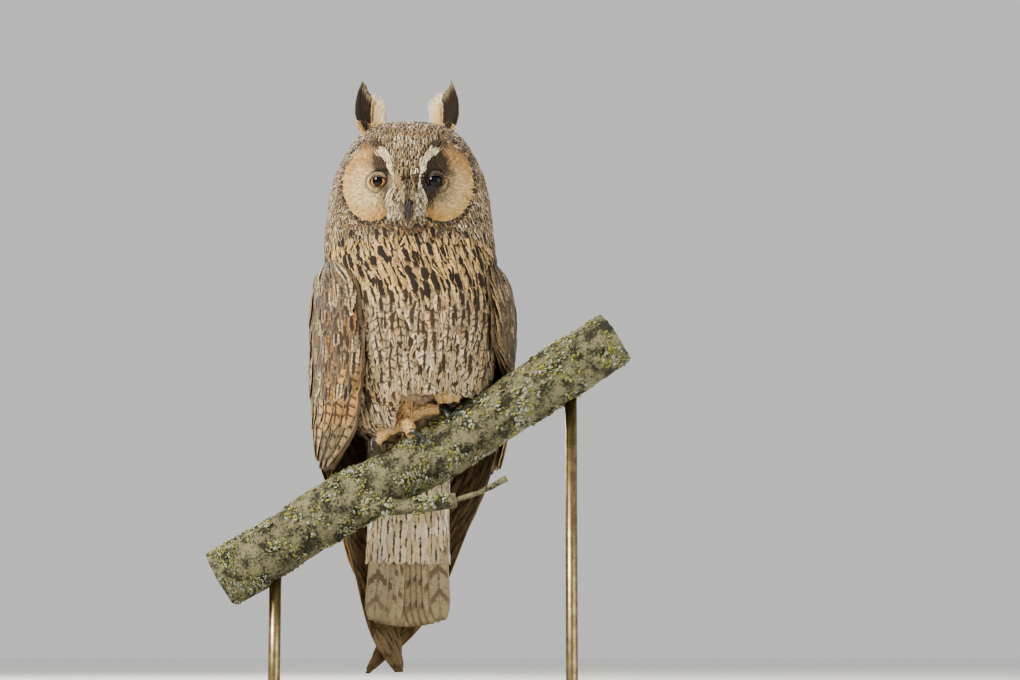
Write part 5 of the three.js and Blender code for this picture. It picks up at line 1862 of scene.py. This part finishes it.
@dataclass
class Perch:
    """The cut length of branch with its stub, twig and lichen."""

    y: float = -18.0
    radius: float = 18.7
    line: tuple = ((-128, 84), (-96, 103), (-49, 133.5), (-8, 155.5), (25, 175), (83, 212.5), (134, 246))

    def trunk_size(self, t: Array) -> tuple:
        """Half width and height of the branch."""
        size = self.radius * (1.02 - 0.03 * t) + 0.5 * np.sin(t * 23)
        return size, size

    def build(self) -> None:
        """Makes the bark, the sawn ends and the lichen."""
        upright = (0.0, 1.0, 0.0)
        branch = TubeForm([[x, self.y, z] for x, z in self.line], self.trunk_size, upright)
        stub = TubeForm([[-46, -19, 134], [-30, -33, 131.5], [-2, -38, 131.5], [28, -39, 135.5]],
                        lambda t: (5.4 - 1.0 * t, 5.6 - 0.8 * t), upright)
        twig = TubeForm([[20, -39, 134.5], [34, -39, 137.5], [48, -38, 143], [61, -37, 150]],
                        lambda t: (1.6 + 0.5 * t**4,) * 2, upright)
        bm = bmesh.new()
        add_tube(bm, branch, 96, 190)
        add_tube(bm, stub, 32, 50)
        add_tube(bm, twig, 14, 24)
        bm.normal_update()
        for vert in bm.verts:
            spot = vert.co
            rough = noise.noise(Vector((spot.x * 0.045, spot.y * 0.2, spot.z * 0.13))) * 1.0
            rough += abs(noise.noise(Vector((spot.x * 0.13, spot.y * 0.42, spot.z * 0.32)))) * -1.3
            rough += noise.noise(spot * 0.7) * 0.35
            on_stub = spot.y < -30 and spot.z < 152
            vert.co += vert.normal * max(-1.5, min(0.9, rough + 0.3)) * (0.4 if on_stub else 1)
        mesh = mesh_of("perch_bark", bm)
        piece = add_piece("perch_bark", mesh, "bark", BARK.material(), END_WOOD.material())
        for polygon in mesh.polygons:
            if len(polygon.vertices) > 20:
                polygon.material_index = 1
                polygon.use_smooth = False
        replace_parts(piece, "perch_branch")
        self.lichen(branch, stub)

    def lichen(self, branch: TubeForm, stub: TubeForm) -> None:
        """Scatters crusts of yellow-green and grey lichen in clumps."""
        draw = np.random.default_rng(7)
        coat = Coat("perch_lichen", "bark", 2, 3, 0.4)
        for form, count in ((branch, 11000), (stub, 1000)):
            angle = draw.uniform(0, TAU, count)
            along = draw.uniform(2, form.length - 3, count)
            place = form.point(angle, along, np.zeros(count))
            spots = [Vector(p) for p in place]
            cloud = np.array([noise.noise(p * 0.075) + 0.5 * noise.noise(p * 0.22) for p in spots])
            middle = form.point(angle * 0, along, -18 + 0 * along)
            crest = (place[:, 2] - middle[:, 2]) * 0.006
            keep = cloud + crest > draw.uniform(-0.02, 0.22, count)
            angle, along, cloud = angle[keep], along[keep], cloud[keep]
            kept = len(angle)
            way = draw.uniform(0, TAU, kept)
            size = draw.uniform(0.8, 2.2, kept)
            silvered = smooth(draw.random(kept) + cloud * 0.8, 0.45, 0.9)
            ground = mix(LICHEN_GREEN, LICHEN_SILVER, silvered) * draw.uniform(0.7, 1.15, kept)[:, None]
            marks = Marks.even(kept, ground, ground * 0.4, 0.1, 0.3, 0.3)
            coat.lay(
                form, (angle, along),
                (angle + np.cos(way) * size / form.scale(angle, along), along + np.sin(way) * size),
                size * draw.uniform(0.45, 0.75, kept), (-0.4, 0.5 + 1.0 * draw.random(kept)), marks, draw,
                cup=0.2, blunt=0.4, base=0.6, ragged=0.35,
            )
        coat.build(FINE_VANES)


@dataclass
class Stand:
    """The plain display stand."""

    length: float = 250.0
    depth: float = 170.0
    height: float = 12.0
    corner: float = 24.0
    rod: float = 4.0
    rod_y: float = -18.0
    rods: tuple = (("left", -92.0, 98.0), ("right", 104.0, 218.0))

    def build(self) -> None:
        """Makes base and rods."""
        bm = bmesh.new()
        bmesh.ops.create_cube(bm, size=1)
        bmesh.ops.scale(bm, vec=(self.length, self.depth, self.height), verts=bm.verts)
        bmesh.ops.translate(bm, vec=(0, 0, self.height / 2), verts=bm.verts)
        upright = [e for e in bm.edges if rise_of(e) > 1]
        bmesh.ops.bevel(
            bm, geom=upright, offset=self.corner, affect="EDGES", segments=16, profile=0.5, material=-1
        )
        rims = [e for e in bm.edges if rise_of(e) < 0.1 and len(e.link_faces) == 2]
        rims = [e for e in rims if abs(e.link_faces[0].normal.z - e.link_faces[1].normal.z) > 0.5]
        bmesh.ops.bevel(bm, geom=rims, offset=2.0, affect="EDGES", segments=4, profile=0.5, material=-1)
        mesh = mesh_of("stand_plinth", bm, smoothed=False)
        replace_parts(add_piece("stand_plinth", mesh, "base_wood", BASE_WOOD.material()), "stand_base")
        for name, x, top in self.rods:
            bm = bmesh.new()
            low = self.height + 0.35
            foot = self.rod * 2.6
            outline = [
                (0, low), (foot, low), (foot, low + 2.2), (foot - 0.4, low + 2.9), (foot - 1, low + 3.2),
                (self.rod + 1, low + 4.2), (self.rod + 0.2, low + 5), (self.rod, low + 6),
                (self.rod, top), (0, top),
            ]
            verts = [bm.verts.new((r, 0, z)) for r, z in outline]
            edges = [bm.edges.new(pair) for pair in zip(verts, verts[1:])]
            bmesh.ops.spin(
                bm, geom=verts + edges, cent=(0, 0, 0), axis=(0, 0, 1), angle=TAU, steps=48, use_merge=True
            )
            bmesh.ops.translate(bm, vec=(x, self.rod_y, 0), verts=bm.verts)
            mesh = mesh_of(f"rod_{name}", bm)
            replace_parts(add_piece(f"rod_{name}", mesh, "rod_metal", BRASS.material()), f"stand_rod_{name}")


@dataclass
class Studio:
    """Pale floor, soft light and the camera."""

    eye: tuple = (63.24, -1485.4, 38.24)
    target: tuple = (63.24, 0.0, 247.0)
    lens: float = 77.85
    tone: tuple = (0.88, 0.88, 0.87)
    glow: float = 0.62
    floor_half: float = 8.0
    lamps: tuple = (
        ("key", (-1.2, -1.0, 1.4), 0.55, 46.0, (1.0, 0.95, 0.87)),
        ("fill", (1.4, -1.1, 0.7), 1.2, 9.0, (1, 1, 1)),
        ("rim", (-0.7, 1.2, 1.3), 0.9, 26.0, (1.0, 0.95, 0.87)),
    )

    @staticmethod
    def aim(thing: bpy.types.Object, place: Vector, target: Vector) -> None:
        """Puts a lamp or camera in the scene, turned to its target."""
        thing.location = place
        thing.rotation_euler = (target - place).to_track_quat("-Z", "Y").to_euler()
        bpy.context.scene.collection.objects.link(thing)

    def build(self) -> None:
        """Sets the stage."""
        mesh = bpy.data.meshes.new("studio_floor")
        bm = bmesh.new()
        bmesh.ops.create_grid(bm, x_segments=2, y_segments=2, size=self.floor_half)
        bm.to_mesh(mesh)
        bm.free()
        floor = bpy.data.objects.new("studio_floor", mesh)
        bpy.context.scene.collection.objects.link(floor)
        material, _, shader = start_material("pale floor")
        shader.inputs["Base Color"].default_value = (*self.tone, 1)
        shader.inputs["Roughness"].default_value = 0.9
        mesh.materials.append(material)
        world = bpy.data.worlds.new("studio")
        world.use_nodes = True
        sky = world.node_tree.nodes["Background"].inputs
        sky["Color"].default_value = (*self.tone, 1)
        sky["Strength"].default_value = self.glow
        bpy.context.scene.world = world
        for name, place, size, power, colour in self.lamps:
            data = bpy.data.lights.new(name, "AREA")
            data.size = size
            data.energy = power
            data.color = colour
            light = bpy.data.objects.new(name, data)
            self.aim(light, Vector(place), Vector((0, 0, 0.25)))
        bpy.context.scene.view_settings.look = "AgX - Medium High Contrast"
        data = bpy.data.cameras.new("camera")
        data.lens = self.lens
        data.sensor_width = 36.0
        data.clip_start = 0.01
        camera = bpy.data.objects.new("camera", data)
        self.aim(camera, Vector(self.eye) * MM, Vector(self.target) * MM)
        bpy.context.scene.camera = camera


FOOT_RIGHT = Foot(
    "right",
    leg=[[-6, -19, 216], [-7, -23, 200], [-7.5, -24.5, 190], [-7, -23.5, 184.5]],
    leg_size=(8, 6),
    toes=[
        [[-7, -24, 187], [-14, -26, 185], [-20, -27, 181], [-24.5, -27.5, 176]],
        [[-7, -24, 187], [-6, -30, 188], [-4, -36, 185], [-2, -39.5, 180]],
        [[-7, -23, 188], [-1, -24, 193], [7, -25, 196.5], [15, -26, 197]],
        [[-7, -21, 187], [-7.5, -11, 183], [-8, -2, 176], [-8, 3, 168]],
    ],
    claws=[
        [[-23.2, -27.4, 177.6], [-27.5, -29.5, 175.5], [-27.5, -32, 169.5], [-22.5, -31.5, 165]],
        [[-2.8, -38.4, 181.6], [1, -42.5, 179.5], [6.5, -42, 175.5], [10.5, -38, 171]],
        [[13.6, -25.8, 197], [19.5, -29, 196], [22, -32.5, 191], [20.5, -32.5, 185.5]],
        [[-8, 2.2, 169.6], [-8, 5.4, 164], [-8.5, 5.4, 158], [-9, 3, 153.5]],
    ],
)
FOOT_LEFT = Foot(
    "left",
    leg=[[20, -11.5, 231], [21, -15.5, 221], [22, -19.5, 214], [22.5, -22.5, 210]],
    leg_size=(7, 5.5),
    toes=[
        [[22, -21.5, 212], [17.5, -27.5, 211], [17, -30.5, 206], [18, -29.5, 202.5]],
        [[22.5, -22.5, 212], [22, -30.5, 211], [22, -33.5, 206], [22.3, -32, 202.5]],
        [[23, -21.5, 212], [27, -27.5, 211.5], [27.5, -30.5, 207], [26.7, -29.5, 203.5]],
        [[22.5, -20.5, 211], [24, -14.5, 208.5], [24.5, -16, 204], [24, -19.5, 202.5]],
    ],
    claws=[
        [[18, -29.5, 203], [19.2, -27, 200.5], [21, -24.5, 201], [22, -22.5, 203]],
        [[22.3, -32, 203], [23.3, -29.5, 200], [24.5, -26.5, 200.5], [24.8, -24.5, 202.8]],
        [[26.7, -29.5, 204], [28, -27, 201.8], [29, -24.5, 202.6], [29, -22.8, 204.6]],
        [[24, -19, 202.7], [22.2, -21, 200.6], [20.2, -21.7, 202], [19.3, -21.5, 204]],
    ],
)


def main() -> None:
    """Builds the owl, its perch, its stand and the studio."""
    logging.basicConfig(level=logging.INFO, format="%(name)s %(message)s")
    for part in (
        Skin(), BodyCoat(), HeadCoat(), FaceCoat(), Eyes(), Bill(), EarTufts(), Wings(), Tail(),
        FOOT_RIGHT, FOOT_LEFT, Perch(), Stand(), Studio(),
    ):
        part.build()
        LOG.info("built %s", type(part).__name__)


if __name__ == "__main__":
    main()
